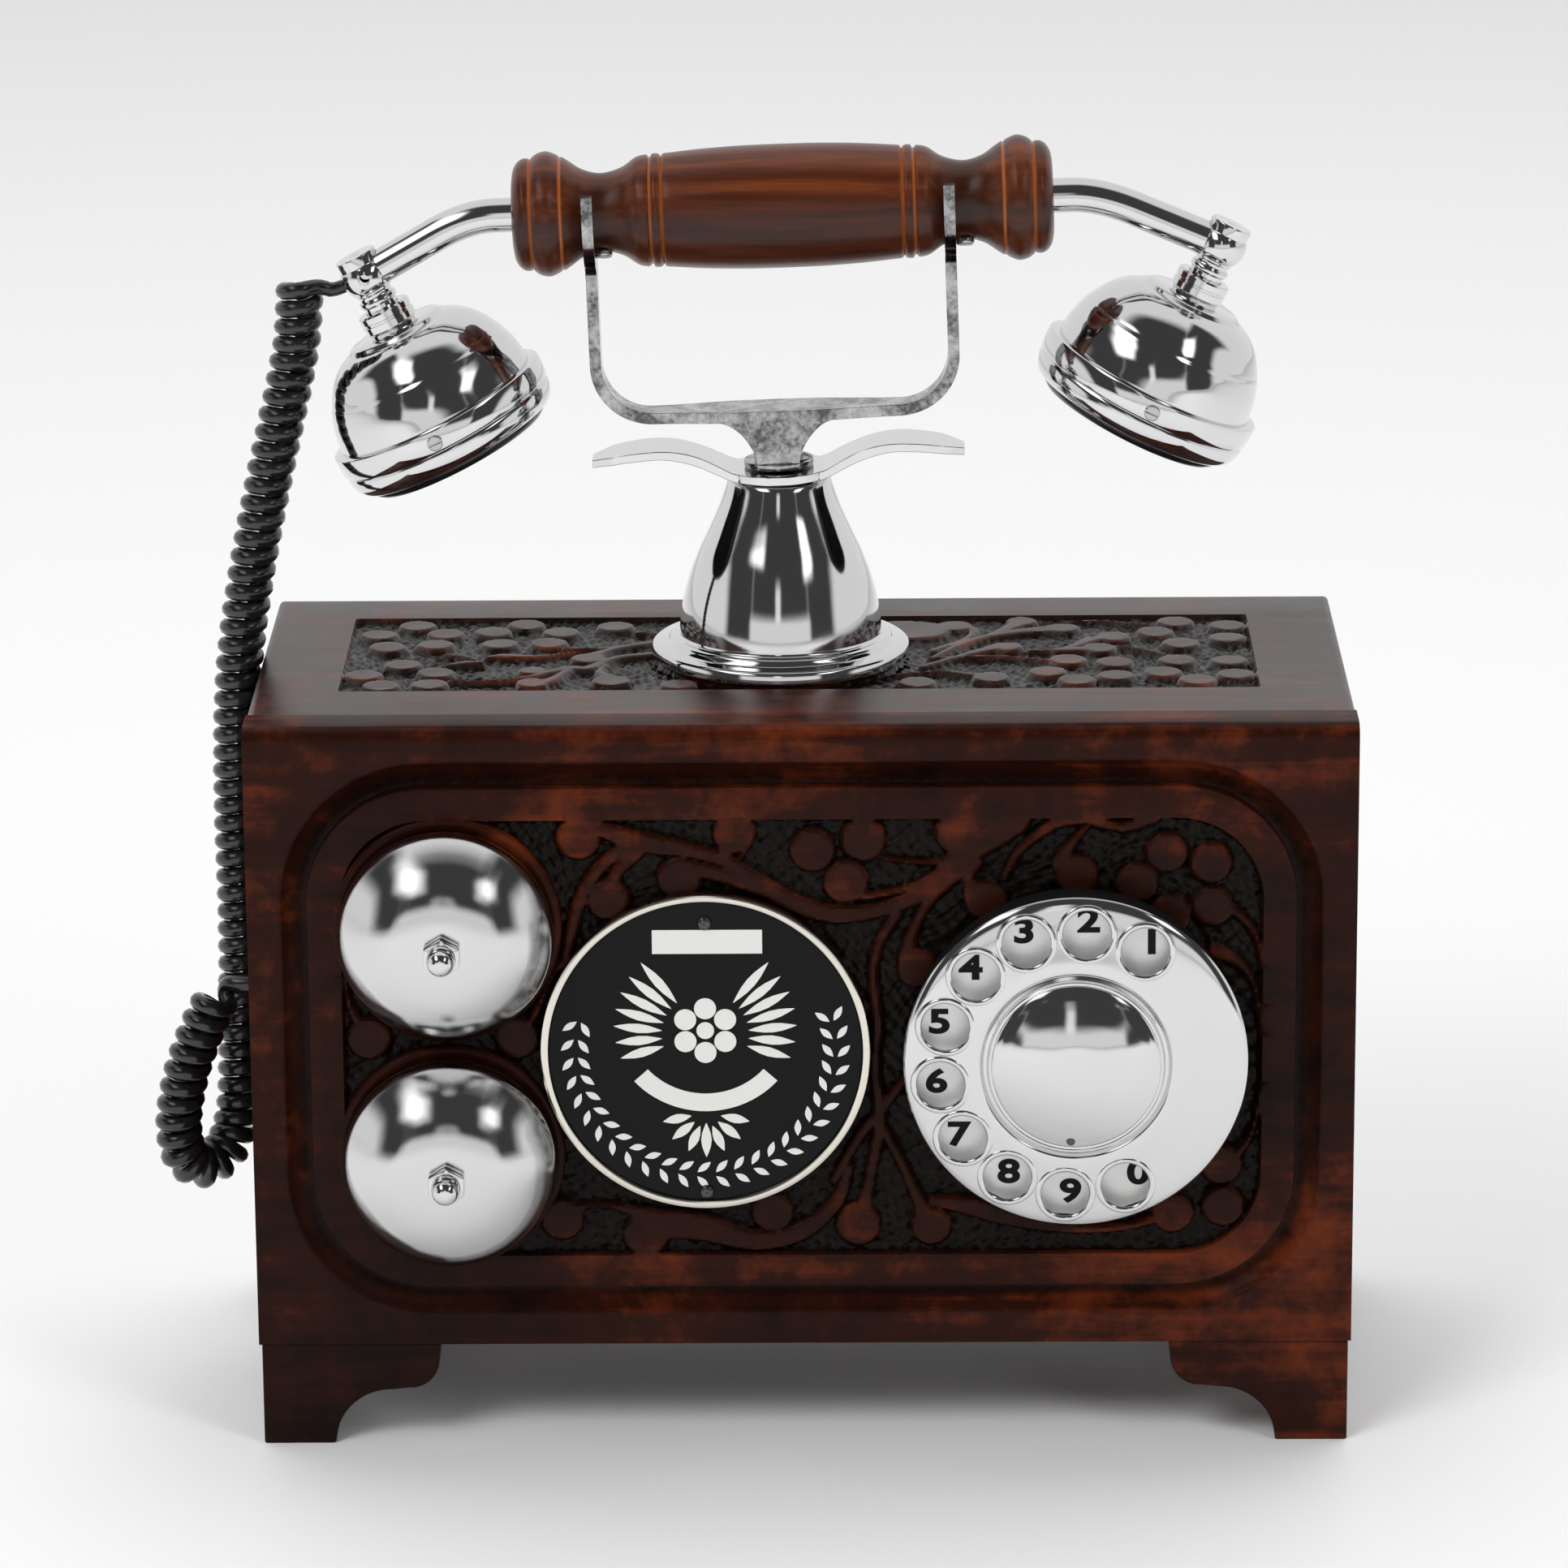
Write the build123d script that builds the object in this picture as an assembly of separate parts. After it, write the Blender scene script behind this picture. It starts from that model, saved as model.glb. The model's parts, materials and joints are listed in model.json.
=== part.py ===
from build123d import *
import os
from math import acos, atan2, cos, degrees, hypot, pi, radians, sin, tan

# Desk telephone: a carved wooden box on bracket feet, two bells, a badge and a rotary dial on its front,
# and a turned handset across a sprung cradle on a cone stand. Millimetres, +Z up, front towards -Y.
# Every sub-part is drawn with y = 0 on the box's front face. save() moves it so that the origin is
# below the middle of the whole telephone, on the surface that it stands on.

# ---- driving dimensions -------------------------------------------------------------------------
BOX_WIDTH = 250.0
BOX_DEPTH = 114.0
BOX_HEIGHT = 146.4
FOOT_HEIGHT = 24.4
FOOT_REACH = 41.1
FOOT_INSET = 0.6
PANEL_THICK = 12.5
BOARD_THICK = 10.0
BACK_THICK = 8.0

BELL_X = -80.0
BELL_UPPER_Z = 124.0
BELL_LOWER_Z = 70.2
BADGE_X = -21.9
DIAL_X = 61.5
FACE_Z = 95.4

STAND_X = -4.9
STAND_Y = 64.0
LEAN = -1.75
HANDLE_Z = 276.2
HANDLE_X = -3.65

RISE = 4.0
FORK_GAP = 82.0

# ---- worked out from them -----------------------------------------------------------------------
BOX_BASE = FOOT_HEIGHT
BOX_TOP = FOOT_HEIGHT + BOX_HEIGHT
HALF_W = BOX_WIDTH / 2
PANEL_MID_Z = FOOT_HEIGHT + BOX_HEIGHT / 2
CAP_REACH = 19.0
BELL_REACH = 28.0
GLAND_REACH = 5.0
Y_CENTRE = (BOX_DEPTH + GLAND_REACH - BELL_REACH) / 2

os.makedirs("parts", exist_ok=True)


def save(name, *solids):
    """Write one sub-part, moved from the front-face frame to the telephone's own frame."""
    moved = [Pos(0, -Y_CENTRE, 0) * solid for solid in solids]
    shape = moved[0] if len(moved) == 1 else Compound(children=moved)
    export_step(shape, f"parts/{name}.step")


def block(x0, x1, y0, y1, z0, z1):
    """A box between two corners."""
    return Pos((x0 + x1) / 2, (y0 + y1) / 2, (z0 + z1) / 2) * Box(x1 - x0, y1 - y0, z1 - z0)


def rod(start, direction, radius, length):
    """A round bar from a point along a direction."""
    plane = Plane(origin=start, z_dir=direction)
    return extrude(plane * Circle(radius), amount=length)


def turned(points, x=0.0, y=0.0, z=0.0):
    """A shape turned about a vertical axis from (radius, height) corners."""
    face = make_face(Plane.XZ * Polyline(*points, close=True))
    return Pos(x, y, z) * revolve(face, Axis.Z)


def facing(points, x, z):
    """A shape turned about an axis towards the front, from (radius, distance in front of y = 0)."""
    return Pos(x, 0, z) * (Rot(90, 0, 0) * turned(points))


def slab(sketch, y0, y1):
    """A sketch on the front view's (x, z), extruded from y0 back to y1."""
    plane = Plane(origin=(0, y0, 0), x_dir=(1, 0, 0), z_dir=(0, -1, 0))
    return extrude(plane * sketch, amount=-(y1 - y0))


# ---- the wooden box -----------------------------------------------------------------------------
COVE_DEPTH = 3.5
COVE_WIDTH = 6.0
INNER_HALF = (111.5, 59.3)
INNER_RADIUS = 27.0
FIELD_HALF = (104.0, 52.6)
FIELD_RADIUS = 19.0
FIELD_DEPTH = 2.0
BELL_SEAT_RADIUS = 26.0
DIAL_SEAT_RADIUS = 38.5
DIAL_CAN_HOLE = 33.0
POST_HOLE = 2.6
STRIKER_Z = 11.5
STRIKER_SLOT = (5.0, 8.0)
TOP_FIELD_X = (-105.5, 104.5)
TOP_FIELD_Y = (32.0, 96.0)
TOP_FIELD_DEPTH = 1.6
GROMMET_AT = (48.0, 96.0)
GROMMET_HOLE = 4.6
INLET_AT = (70.0, 46.0)
INLET_HOLE = 5.0
INLET_BORE = 2.75
BACK_SCREW_X = 119.0
BACK_SCREW_Z = (36.0, 97.0, 150.0)
STRIKER_MID_Z = (BELL_UPPER_Z + BELL_LOWER_Z) / 2


def at(x, z):
    """A place on the front view."""
    return Pos(x, z)


def front_panel():
    """The carved front: a cove round a raised field, with a sunk carved ground inside it."""
    panel = block(-HALF_W, HALF_W, 0, PANEL_THICK, BOX_BASE, BOX_TOP)
    top_edge = panel.edges().filter_by(Axis.X).sort_by(Axis.Y)[:2].sort_by(Axis.Z)[-1]
    panel = fillet(top_edge, 3.5)
    middle = at(0, PANEL_MID_Z)
    outer = RectangleRounded(2 * (INNER_HALF[0] + COVE_WIDTH), 2 * (INNER_HALF[1] + COVE_WIDTH),
                             INNER_RADIUS + COVE_WIDTH)
    inner = RectangleRounded(2 * INNER_HALF[0], 2 * INNER_HALF[1], INNER_RADIUS)
    front = Plane(origin=(0, 0, 0), x_dir=(1, 0, 0), z_dir=(0, -1, 0))
    cove_angle = degrees(atan2(COVE_WIDTH - 1.0, COVE_DEPTH))
    cove = extrude(front * (middle * outer), amount=-COVE_DEPTH, taper=cove_angle)
    cove -= slab(middle * inner, -1, COVE_DEPTH + 1)
    field = RectangleRounded(2 * FIELD_HALF[0], 2 * FIELD_HALF[1], FIELD_RADIUS)
    islands = [at(BELL_X, z) * Circle(BELL_SEAT_RADIUS) for z in (BELL_UPPER_Z, BELL_LOWER_Z)]
    islands.append(at(BADGE_X, FACE_Z) * Circle(BADGE_RADIUS - 1))
    islands.append(at(DIAL_X, FACE_Z) * Circle(DIAL_SEAT_RADIUS))
    ground = slab(middle * field, 0, FIELD_DEPTH)
    for island in islands:
        ground -= slab(island, -1, FIELD_DEPTH + 1)
    panel = panel - cove - ground
    panel -= slab(at(DIAL_X, FACE_Z) * Circle(DIAL_CAN_HOLE), -1, PANEL_THICK + 1)
    for z in (BELL_UPPER_Z, BELL_LOWER_Z):
        panel -= slab(at(BELL_X, z) * Circle(POST_HOLE), -1, PANEL_THICK + 1)
    for z in (STRIKER_MID_Z - STRIKER_Z, STRIKER_MID_Z + STRIKER_Z):
        panel -= slab(at(BELL_X, z) * Rectangle(*STRIKER_SLOT), -1, PANEL_THICK + 1)
    for z in BADGE_SCREW_Z:
        panel -= slab(at(BADGE_X, z) * Circle(BADGE_SCREW_SHANK), -1, BADGE_SCREW_REACH + 0.5)
    return panel


def top_board():
    """The carved top, with an uncarved disc that the stand's flange is screwed down on."""
    board = block(-HALF_W, HALF_W, PANEL_THICK, BOX_DEPTH, BOX_TOP - BOARD_THICK, BOX_TOP)
    ends = board.edges().filter_by(Axis.Y).sort_by(Axis.Z)[-2:]
    board = fillet(ends, 2.0)
    back = board.edges().filter_by(Axis.X).sort_by(Axis.Y)[-2:].sort_by(Axis.Z)[-1]
    board = fillet(back, 2.0)
    ground = block(*TOP_FIELD_X, *TOP_FIELD_Y, BOX_TOP - TOP_FIELD_DEPTH, BOX_TOP + 1)
    ground -= rod((STAND_X, STAND_Y, BOX_TOP - 5), (0, 0, 1), FLANGE_RADIUS - 1, 10)
    board -= ground
    board -= rod((STAND_X, STAND_Y, BOX_TOP - 20), (0, 0, 1), ROD_RADIUS + 1.5, 40)
    for x, y in stand_screw_places():
        board -= rod((x, y, BOX_TOP - 20), (0, 0, 1), STAND_SCREW_RADIUS + 0.1, 40)
    return board


def side_board(side):
    """A plain side, butted between the front, top and back. The left one is bored for the grommet."""
    x = side * (HALF_W - BOARD_THICK / 2)
    y0, y1 = PANEL_THICK, BOX_DEPTH - BACK_THICK
    board = block(x - BOARD_THICK / 2, x + BOARD_THICK / 2, y0, y1, BOX_BASE, BOX_TOP - BOARD_THICK)
    if side < 0:
        y, z = GROMMET_AT
        board -= rod((-HALF_W - 1, y, z), (1, 0, 0), GROMMET_HOLE, BOARD_THICK + 2)
    for z in BACK_SCREW_Z:
        board -= rod((side * BACK_SCREW_X, y1 + 1, z), (0, -1, 0), 1.3, 14)
    return board


def bottom_board():
    """The floor of the box, between the two sides."""
    inside = HALF_W - BOARD_THICK
    return block(-inside, inside, PANEL_THICK, BOX_DEPTH - BACK_THICK, BOX_BASE, BOX_BASE + BACK_THICK)


def back_panel():
    """The screwed back, with the hole for the line inlet."""
    y0 = BOX_DEPTH - BACK_THICK
    panel = block(-HALF_W, HALF_W, y0, BOX_DEPTH, BOX_BASE, BOX_TOP - BOARD_THICK)
    for side in (-1, 1):
        for z in BACK_SCREW_Z:
            panel -= rod((side * BACK_SCREW_X, y0 - 1, z), (0, 1, 0), 1.7, BACK_THICK + 2)
    x, z = INLET_AT
    panel -= rod((x, y0 - 1, z), (0, 1, 0), INLET_HOLE, BACK_THICK + 2)
    return panel


def pan_screw(head_radius, head_height, shank_radius, reach, slot=0.8):
    """A pan-head screw, head up at z = 0, shank down."""
    head = Cylinder(head_radius, head_height, align=(Align.CENTER, Align.CENTER, Align.MIN))
    head = fillet(head.edges().sort_by(Axis.Z)[-1], head_height * 0.55)
    head -= Pos(0, 0, head_height) * Box(head_radius * 3, slot, head_height)
    shank = Cylinder(shank_radius, reach, align=(Align.CENTER, Align.CENTER, Align.MAX))
    return head + shank


def back_panel_screws():
    """Six screws through the back panel into the sides."""
    screw = pan_screw(3.2, 1.8, 1.2, 18)
    return [Pos(side * BACK_SCREW_X, BOX_DEPTH, z) * Rot(-90, 0, 0) * screw
            for side in (-1, 1) for z in BACK_SCREW_Z]


FOOT_THICK = 12.0


def foot_profile():
    """One side of a bracket foot from its outer corner: straight toe, scotia, ovolo, straight top."""
    toe = 16.5
    top = FOOT_HEIGHT
    outline = Curve() + [
        Line((0, 0), (toe, 0)),
        ThreePointArc((toe, 0), (20.3, 9.2), (29.5, 13.0)),
        Line((29.5, 13.0), (33.5, 13.4)),
        ThreePointArc((33.5, 13.4), (38.6, 15.3), (40.6, 20.0)),
        Line((40.6, 20.0), (FOOT_REACH, top)),
        Line((FOOT_REACH, top), (0, top)),
        Line((0, top), (0, 0)),
    ]
    return make_face(outline)


def foot(x_side, y_side):
    """An L of two bracket profiles mitred at a corner of the box."""
    profile = foot_profile()
    front = extrude(Plane.XZ * profile, amount=-FOOT_THICK)
    flank = extrude(Plane.YZ * profile, amount=FOOT_THICK)
    corner = front + flank
    if x_side > 0:
        corner = mirror(corner, Plane.YZ)
    if y_side > 0:
        corner = mirror(corner, Plane.XZ)
    x = x_side * (HALF_W - FOOT_INSET)
    y = FOOT_INSET if y_side < 0 else BOX_DEPTH - FOOT_INSET
    return Pos(x, y, 0) * corner


# ---- badge --------------------------------------------------------------------------------------
BADGE_RADIUS = 37.4
BADGE_RIM = 2.0
BADGE_THICK = 3.0
BADGE_SCREW_Z = (FACE_Z + 30.4, FACE_Z - 33.5)
BADGE_SCREW_SHANK = 0.9
BADGE_SCREW_REACH = 9.0


def badge_rim():
    """The turned rim that holds the round plate down."""
    inner = BADGE_RADIUS - BADGE_RIM
    corners = [(inner, 0.0), (BADGE_RADIUS, 0.0), (BADGE_RADIUS, BADGE_THICK - 0.8),
               (BADGE_RADIUS - 0.6, BADGE_THICK), (inner + 0.4, BADGE_THICK), (inner, BADGE_THICK - 0.4)]
    return facing(corners, BADGE_X, FACE_Z)


def badge_plate():
    """The flat plate inside the rim, pierced for its two screws."""
    plate = slab(at(BADGE_X, FACE_Z) * Circle(BADGE_RADIUS - BADGE_RIM - 0.05), -BADGE_THICK + 1.0, 0)
    for z in BADGE_SCREW_Z:
        plate -= slab(at(BADGE_X, z) * Circle(BADGE_SCREW_SHANK), -BADGE_THICK - 1, 1)
    return plate


def badge_screws():
    """Two small pan-head screws through the badge."""
    screw = pan_screw(1.65, 0.9, BADGE_SCREW_SHANK - 0.05, BADGE_SCREW_REACH, slot=0.5)
    return [Pos(BADGE_X, -BADGE_THICK + 1.0, z) * Rot(90, 0, 0) * screw for z in BADGE_SCREW_Z]


# ---- bells and ringer ---------------------------------------------------------------------------
BELL_RADIUS = 23.7
BELL_STAND_OFF = 4.0
BELL_APEX = 19.5
BELL_WALL = 1.2
STUD_RADIUS = 2.0
NUT_HEIGHT = 3.0
NUT_FLATS = 8.0
RINGER_Z = STRIKER_MID_Z
PIVOT_Y = 46.0


def bell(z):
    """A pressed gong: broad crown, steep shoulder and a flared lip, hollow towards the panel."""
    outer = [(0.0, BELL_APEX), (6.0, BELL_APEX - 0.2), (11.5, BELL_APEX - 1.3), (15.5, BELL_APEX - 3.6),
             (18.6, BELL_APEX - 7.0), (20.6, BELL_APEX - 10.6), (21.9, BELL_APEX - 13.2),
             (BELL_RADIUS, BELL_STAND_OFF)]
    inner = [(r - BELL_WALL * min(1.0, r / 9.0), h - BELL_WALL * (1.0 if r < 12 else 0.55))
             for r, h in outer]
    inner[0] = (0.0, BELL_APEX - BELL_WALL)
    inner[-1] = (BELL_RADIUS - 0.9, BELL_STAND_OFF)
    crown = Spline(*outer)
    hollow = Spline(*inner)
    lip = Line(outer[-1], inner[-1])
    axis = Line(inner[0], outer[0])
    face = make_face(Plane.XZ * (crown + lip + hollow + axis))
    shell = revolve(face, Axis.Z)
    shell -= Pos(0, 0, BELL_APEX) * Cylinder(STUD_RADIUS + 0.1, 10)
    return Pos(BELL_X, 0, z) * Rot(90, 0, 0) * shell


def bell_posts():
    """A shouldered post for each bell, nutted behind the panel."""
    inside = BELL_APEX - BELL_WALL - 0.4
    corners = [(0, -PANEL_THICK - 5), (POST_HOLE - 0.1, -PANEL_THICK - 5), (POST_HOLE - 0.1, 0), (4.5, 0),
               (4.5, inside), (STUD_RADIUS, inside), (STUD_RADIUS, BELL_APEX + NUT_HEIGHT + 2.5),
               (0, BELL_APEX + NUT_HEIGHT + 2.5)]
    return [facing(corners, BELL_X, z) for z in (BELL_UPPER_Z, BELL_LOWER_Z)]


def bell_hex_nuts():
    """The plain nut that clamps each bell on its post."""
    sketch = RegularPolygon(NUT_FLATS / 2, 6, major_radius=False) - Circle(STUD_RADIUS + 0.02)
    nuts = []
    for z in (BELL_UPPER_Z, BELL_LOWER_Z):
        nuts.append(slab(at(BELL_X, z) * sketch, -BELL_APEX - NUT_HEIGHT, -BELL_APEX - 0.02))
    return nuts


def bell_acorn_nuts():
    """The round cap nut over each post's end."""
    low = BELL_APEX + NUT_HEIGHT + 0.02
    corners = [(STUD_RADIUS + 0.02, low), (3.3, low), (3.3, low + 2.2), (2.9, low + 3.6), (1.9, low + 4.8),
               (0.7, BELL_REACH), (0, BELL_REACH), (0, low + 3.0), (STUD_RADIUS + 0.02, low + 3.0)]
    return [facing(corners, BELL_X, z) for z in (BELL_UPPER_Z, BELL_LOWER_Z)]


CHEEK_X = (-97.0, -63.0)
CHEEK_THICK = 2.0
CHEEK_END = 84.0
CLAPPER_PIN_RADIUS = 1.5
COIL_Z = 13.0
COIL_RADIUS = 8.0
ARM_RADIUS = 1.0
HAMMER_RADIUS = 2.2


def ringer_frame():
    """A bent bracket on the panel's back: a base with a window and two cheeks for the pivot pin."""
    base = block(CHEEK_X[0] - 8, CHEEK_X[1] + 8, PANEL_THICK, PANEL_THICK + 2, RINGER_Z - 19, RINGER_Z + 19)
    base -= block(BELL_X - 6, BELL_X + 6, PANEL_THICK - 1, PANEL_THICK + 3, RINGER_Z - 16, RINGER_Z + 16)
    frame = base
    for x in CHEEK_X:
        cheek = block(x - CHEEK_THICK / 2, x + CHEEK_THICK / 2, PANEL_THICK + 1.5, CHEEK_END,
                      RINGER_Z - 7, RINGER_Z + 7)
        frame += cheek
    frame -= rod((CHEEK_X[0] - 5, PIVOT_Y, RINGER_Z), (1, 0, 0), CLAPPER_PIN_RADIUS, 60)
    return frame


def clapper_pin():
    """The pin that the clapper rocks on, pressed into both cheeks."""
    x0 = CHEEK_X[0] - CHEEK_THICK / 2
    x1 = CHEEK_X[1] + CHEEK_THICK / 2
    return rod((x0, PIVOT_Y, RINGER_Z), (1, 0, 0), CLAPPER_PIN_RADIUS, x1 - x0)


def clapper():
    """The rocking armature, its hub, and two arms whose hammers stand inside the two bells."""
    hub = rod((BELL_X - 8, PIVOT_Y, RINGER_Z), (1, 0, 0), 3.5, 16)
    bar = block(BELL_X - 6, BELL_X + 6, PIVOT_Y + 2.0, PIVOT_Y + 4.5, RINGER_Z - 18, RINGER_Z + 18)
    carrier = block(BELL_X - 2, BELL_X + 2, PIVOT_Y - 3, PIVOT_Y + 2.5,
                    RINGER_Z - STRIKER_Z - 2, RINGER_Z + STRIKER_Z + 2)
    shape = hub + bar + carrier
    for side in (-1, 1):
        z = RINGER_Z + side * STRIKER_Z
        shape += rod((BELL_X, PIVOT_Y - 2, z), (0, -1, 0), ARM_RADIUS, PIVOT_Y + 4)
        shape += rod((BELL_X, -5.0, z), (0, -1, 0), HAMMER_RADIUS, 3.6)
    shape -= rod((BELL_X - 20, PIVOT_Y, RINGER_Z), (1, 0, 0), CLAPPER_PIN_RADIUS + 0.05, 40)
    return shape


def ringer_core():
    """The iron yoke across the frame's end, with a pole through each coil."""
    yoke = block(CHEEK_X[0] + CHEEK_THICK / 2, CHEEK_X[1] - CHEEK_THICK / 2, CHEEK_END - 4, CHEEK_END,
                 RINGER_Z - 22, RINGER_Z + 22)
    for side in (-1, 1):
        z = RINGER_Z + side * COIL_Z
        yoke += rod((BELL_X, CHEEK_END - 3, z), (0, -1, 0), 3.0, CHEEK_END - 3 - (PIVOT_Y + 8))
    return yoke


def ringer_coils():
    """Two wound bobbins on the poles."""
    coils = []
    for side in (-1, 1):
        z = RINGER_Z + side * COIL_Z
        start = PIVOT_Y + 11
        length = CHEEK_END - 4.2 - start
        coil = rod((BELL_X, start, z), (0, 1, 0), COIL_RADIUS, length)
        for y in (start, start + length - 1.0):
            coil += rod((BELL_X, y, z), (0, 1, 0), COIL_RADIUS + 2.5, 1.0)
        coil -= rod((BELL_X, start - 1, z), (0, 1, 0), 3.1, length + 2)
        coils.append(coil)
    return coils


# ---- dial ---------------------------------------------------------------------------------------
WHEEL_RADIUS = 38.8
WHEEL_EDGE = 11.5
WHEEL_THICK = 1.3
PLATE_FRONT = 8.0
PLATE_THICK = 0.8
HOLE_CIRCLE = 30.7
HOLE_RADIUS = 5.9
HOLE_FIRST = 59.9
HOLE_STEP = 25.72
HOLES = 10
SHAFT_RADIUS = 3.0
CAP_RADIUS = 19.2
CAN_RADIUS = 32.0
CAN_BACK = 26.0
GEAR_MODULE = 0.8
GEAR_TEETH = 36
PINION_TEETH = 12
GEAR_Y = 12.0
GEAR_FACE = 3.0
PINION_ANGLE = 200.0
TOOTH_SLACK = 0.14


def hole_places():
    """Centres of the finger holes about the dial's axis, from digit 1 round to digit 0."""
    angles = [radians(HOLE_FIRST + i * HOLE_STEP) for i in range(HOLES)]
    return [(DIAL_X + HOLE_CIRCLE * cos(a), FACE_Z + HOLE_CIRCLE * sin(a)) for a in angles]


def dial_bezel():
    """The dark ring that the number plate lies on."""
    corners = [(CAN_RADIUS + 0.1, 0.0), (37.6, 0.0), (37.6, 6.4), (37.0, PLATE_FRONT - PLATE_THICK),
               (CAN_RADIUS + 0.1, PLATE_FRONT - PLATE_THICK)]
    return facing(corners, DIAL_X, FACE_Z)


def number_plate():
    """The flat ring printed with the digits."""
    sketch = at(DIAL_X, FACE_Z) * (Circle(37.2) - Circle(7.0))
    return slab(sketch, -PLATE_FRONT, -PLATE_FRONT + PLATE_THICK)


def dial_case():
    """The can that holds the works, hung from the plate and closed at the back round the bush."""
    front = PLATE_FRONT - PLATE_THICK - 0.05
    corners = [(8.0, front), (CAN_RADIUS, front), (CAN_RADIUS, -CAN_BACK), (5.0, -CAN_BACK),
               (5.0, -CAN_BACK + 1.5), (CAN_RADIUS - 1.5, -CAN_BACK + 1.5), (CAN_RADIUS - 1.5, front - 1.5),
               (8.0, front - 1.5)]
    return facing(corners, DIAL_X, FACE_Z)


def dial_bush():
    """The bush in the can's back that the shaft turns in."""
    corners = [(SHAFT_RADIUS + 0.05, -CAN_BACK - 2), (7.0, -CAN_BACK - 2), (7.0, -CAN_BACK),
               (4.95, -CAN_BACK), (4.95, -CAN_BACK + 6), (SHAFT_RADIUS + 0.05, -CAN_BACK + 6)]
    return facing(corners, DIAL_X, FACE_Z)


def finger_wheel():
    """The dished wheel: rolled edge, ten finger holes with turned-back lips, and a sunk centre ring."""
    edge = WHEEL_EDGE
    top = edge + 2.4
    corners = [(SHAFT_RADIUS, top - 1.6), (SHAFT_RADIUS, top + 0.2), (17.0, top + 0.2), (18.6, top - 0.6),
               (20.2, top - 0.6), (21.4, top), (28.0, edge + 1.6), (36.6, edge + 0.3),
               (WHEEL_RADIUS, edge - 0.6), (WHEEL_RADIUS, edge - 1.9), (37.6, edge - 1.9),
               (36.4, edge - 1.0), (28.0, edge + 0.3), (21.0, top - WHEEL_THICK), (20.4, top - 1.9),
               (17.0, top - 1.9), (16.0, top - 1.6)]
    wheel = facing(corners, DIAL_X, FACE_Z)
    for x, z in hole_places():
        lip = at(x, z) * Circle(HOLE_RADIUS + 0.8)
        wheel += slab(lip, -edge - 0.9, -edge + 1.9)
        wheel -= slab(at(x, z) * Circle(HOLE_RADIUS), -edge - 5, -edge + 3)
    return wheel


def dial_cap():
    """The domed cap over the wheel's fixing, with a pin hole at its foot."""
    low = WHEEL_EDGE + 2.4 + 0.2
    rim = Line((0, low), (CAP_RADIUS - 1.4, low))
    side = Line((CAP_RADIUS - 1.4, low), (CAP_RADIUS - 1.4, low + 0.8))
    dome = Spline((CAP_RADIUS - 1.4, low + 0.8), (14.0, low + 3.0), (8.0, CAP_REACH - 0.4), (0, CAP_REACH))
    axis = Line((0, CAP_REACH), (0, low))
    cap = revolve(make_face(Plane.XZ * (rim + side + dome + axis)), Axis.Z)
    cap -= Pos(0, -15.6, CAP_REACH - 2) * Cylinder(1.0, 10)
    return Pos(DIAL_X, 0, FACE_Z) * Rot(90, 0, 0) * cap


def gear_face(teeth, phase, pressure=20.0):
    """A spur gear's outline with involute flanks, thinned by the running slack."""
    pitch_r = GEAR_MODULE * teeth / 2
    base_r = pitch_r * cos(radians(pressure))
    tip_r = pitch_r + 0.85 * GEAR_MODULE
    root_r = pitch_r - 1.15 * GEAR_MODULE
    involute = tan(radians(pressure)) - radians(pressure)
    half = pi / (2 * teeth) + involute - TOOTH_SLACK / pitch_r
    points = []
    for i in range(teeth):
        middle = radians(phase) + 2 * pi * i / teeth
        flank = []
        for k in range(5):
            r = max(base_r, root_r) + (tip_r - max(base_r, root_r)) * k / 4
            turn = acos(min(1.0, base_r / r))
            flank.append((r, half - (tan(turn) - turn)))
        points.append((root_r, middle - half))
        points += [(r, middle - a) for r, a in flank]
        points += [(r, middle + a) for r, a in reversed(flank)]
        points.append((root_r, middle + half))
    return make_face(Polyline(*[(r * cos(a), r * sin(a)) for r, a in points], close=True))


def dial_shaft():
    """The spindle with the main gear: it carries the finger wheel and winds the spring."""
    front = WHEEL_EDGE + 2.4
    spindle = rod((DIAL_X, -front, FACE_Z), (0, 1, 0), SHAFT_RADIUS, front + CAN_BACK + 2)
    gear = slab(at(DIAL_X, FACE_Z) * gear_face(GEAR_TEETH, PINION_ANGLE), GEAR_Y, GEAR_Y + GEAR_FACE)
    hub = slab(at(DIAL_X, FACE_Z) * Circle(5.5), GEAR_Y - 1.5, GEAR_Y + GEAR_FACE + 1.5)
    return spindle + gear + hub


def pinion_place():
    """Where the governor's axis stands, so that its pinion meshes with the main gear."""
    reach = GEAR_MODULE * (GEAR_TEETH + PINION_TEETH) / 2
    a = radians(PINION_ANGLE)
    return DIAL_X + reach * cos(a), FACE_Z + reach * sin(a)


def governor():
    """The fast-turning pinion and drag drum that slow the dial's return."""
    x, z = pinion_place()
    phase = PINION_ANGLE + 180.0 + 180.0 / PINION_TEETH
    pinion = slab(at(x, z) * gear_face(PINION_TEETH, phase), GEAR_Y - 0.5, GEAR_Y + GEAR_FACE + 0.5)
    drum = slab(at(x, z) * Circle(6.5), GEAR_Y + GEAR_FACE + 0.5, GEAR_Y + GEAR_FACE + 5.5)
    groove = Rectangle(6, 1.2)
    for side in (-1, 1):
        drum -= slab(at(x, z + side * 4.8) * groove, GEAR_Y + GEAR_FACE + 2, GEAR_Y + GEAR_FACE + 6)
    bore = rod((x, 0, z), (0, 1, 0), 1.05, 40)
    return pinion + drum - bore


def governor_pin():
    """The fixed pin in the can's back that the governor spins on."""
    x, z = pinion_place()
    return rod((x, GEAR_Y - 1.5, z), (0, 1, 0), 1.0, CAN_BACK - GEAR_Y)


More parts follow.
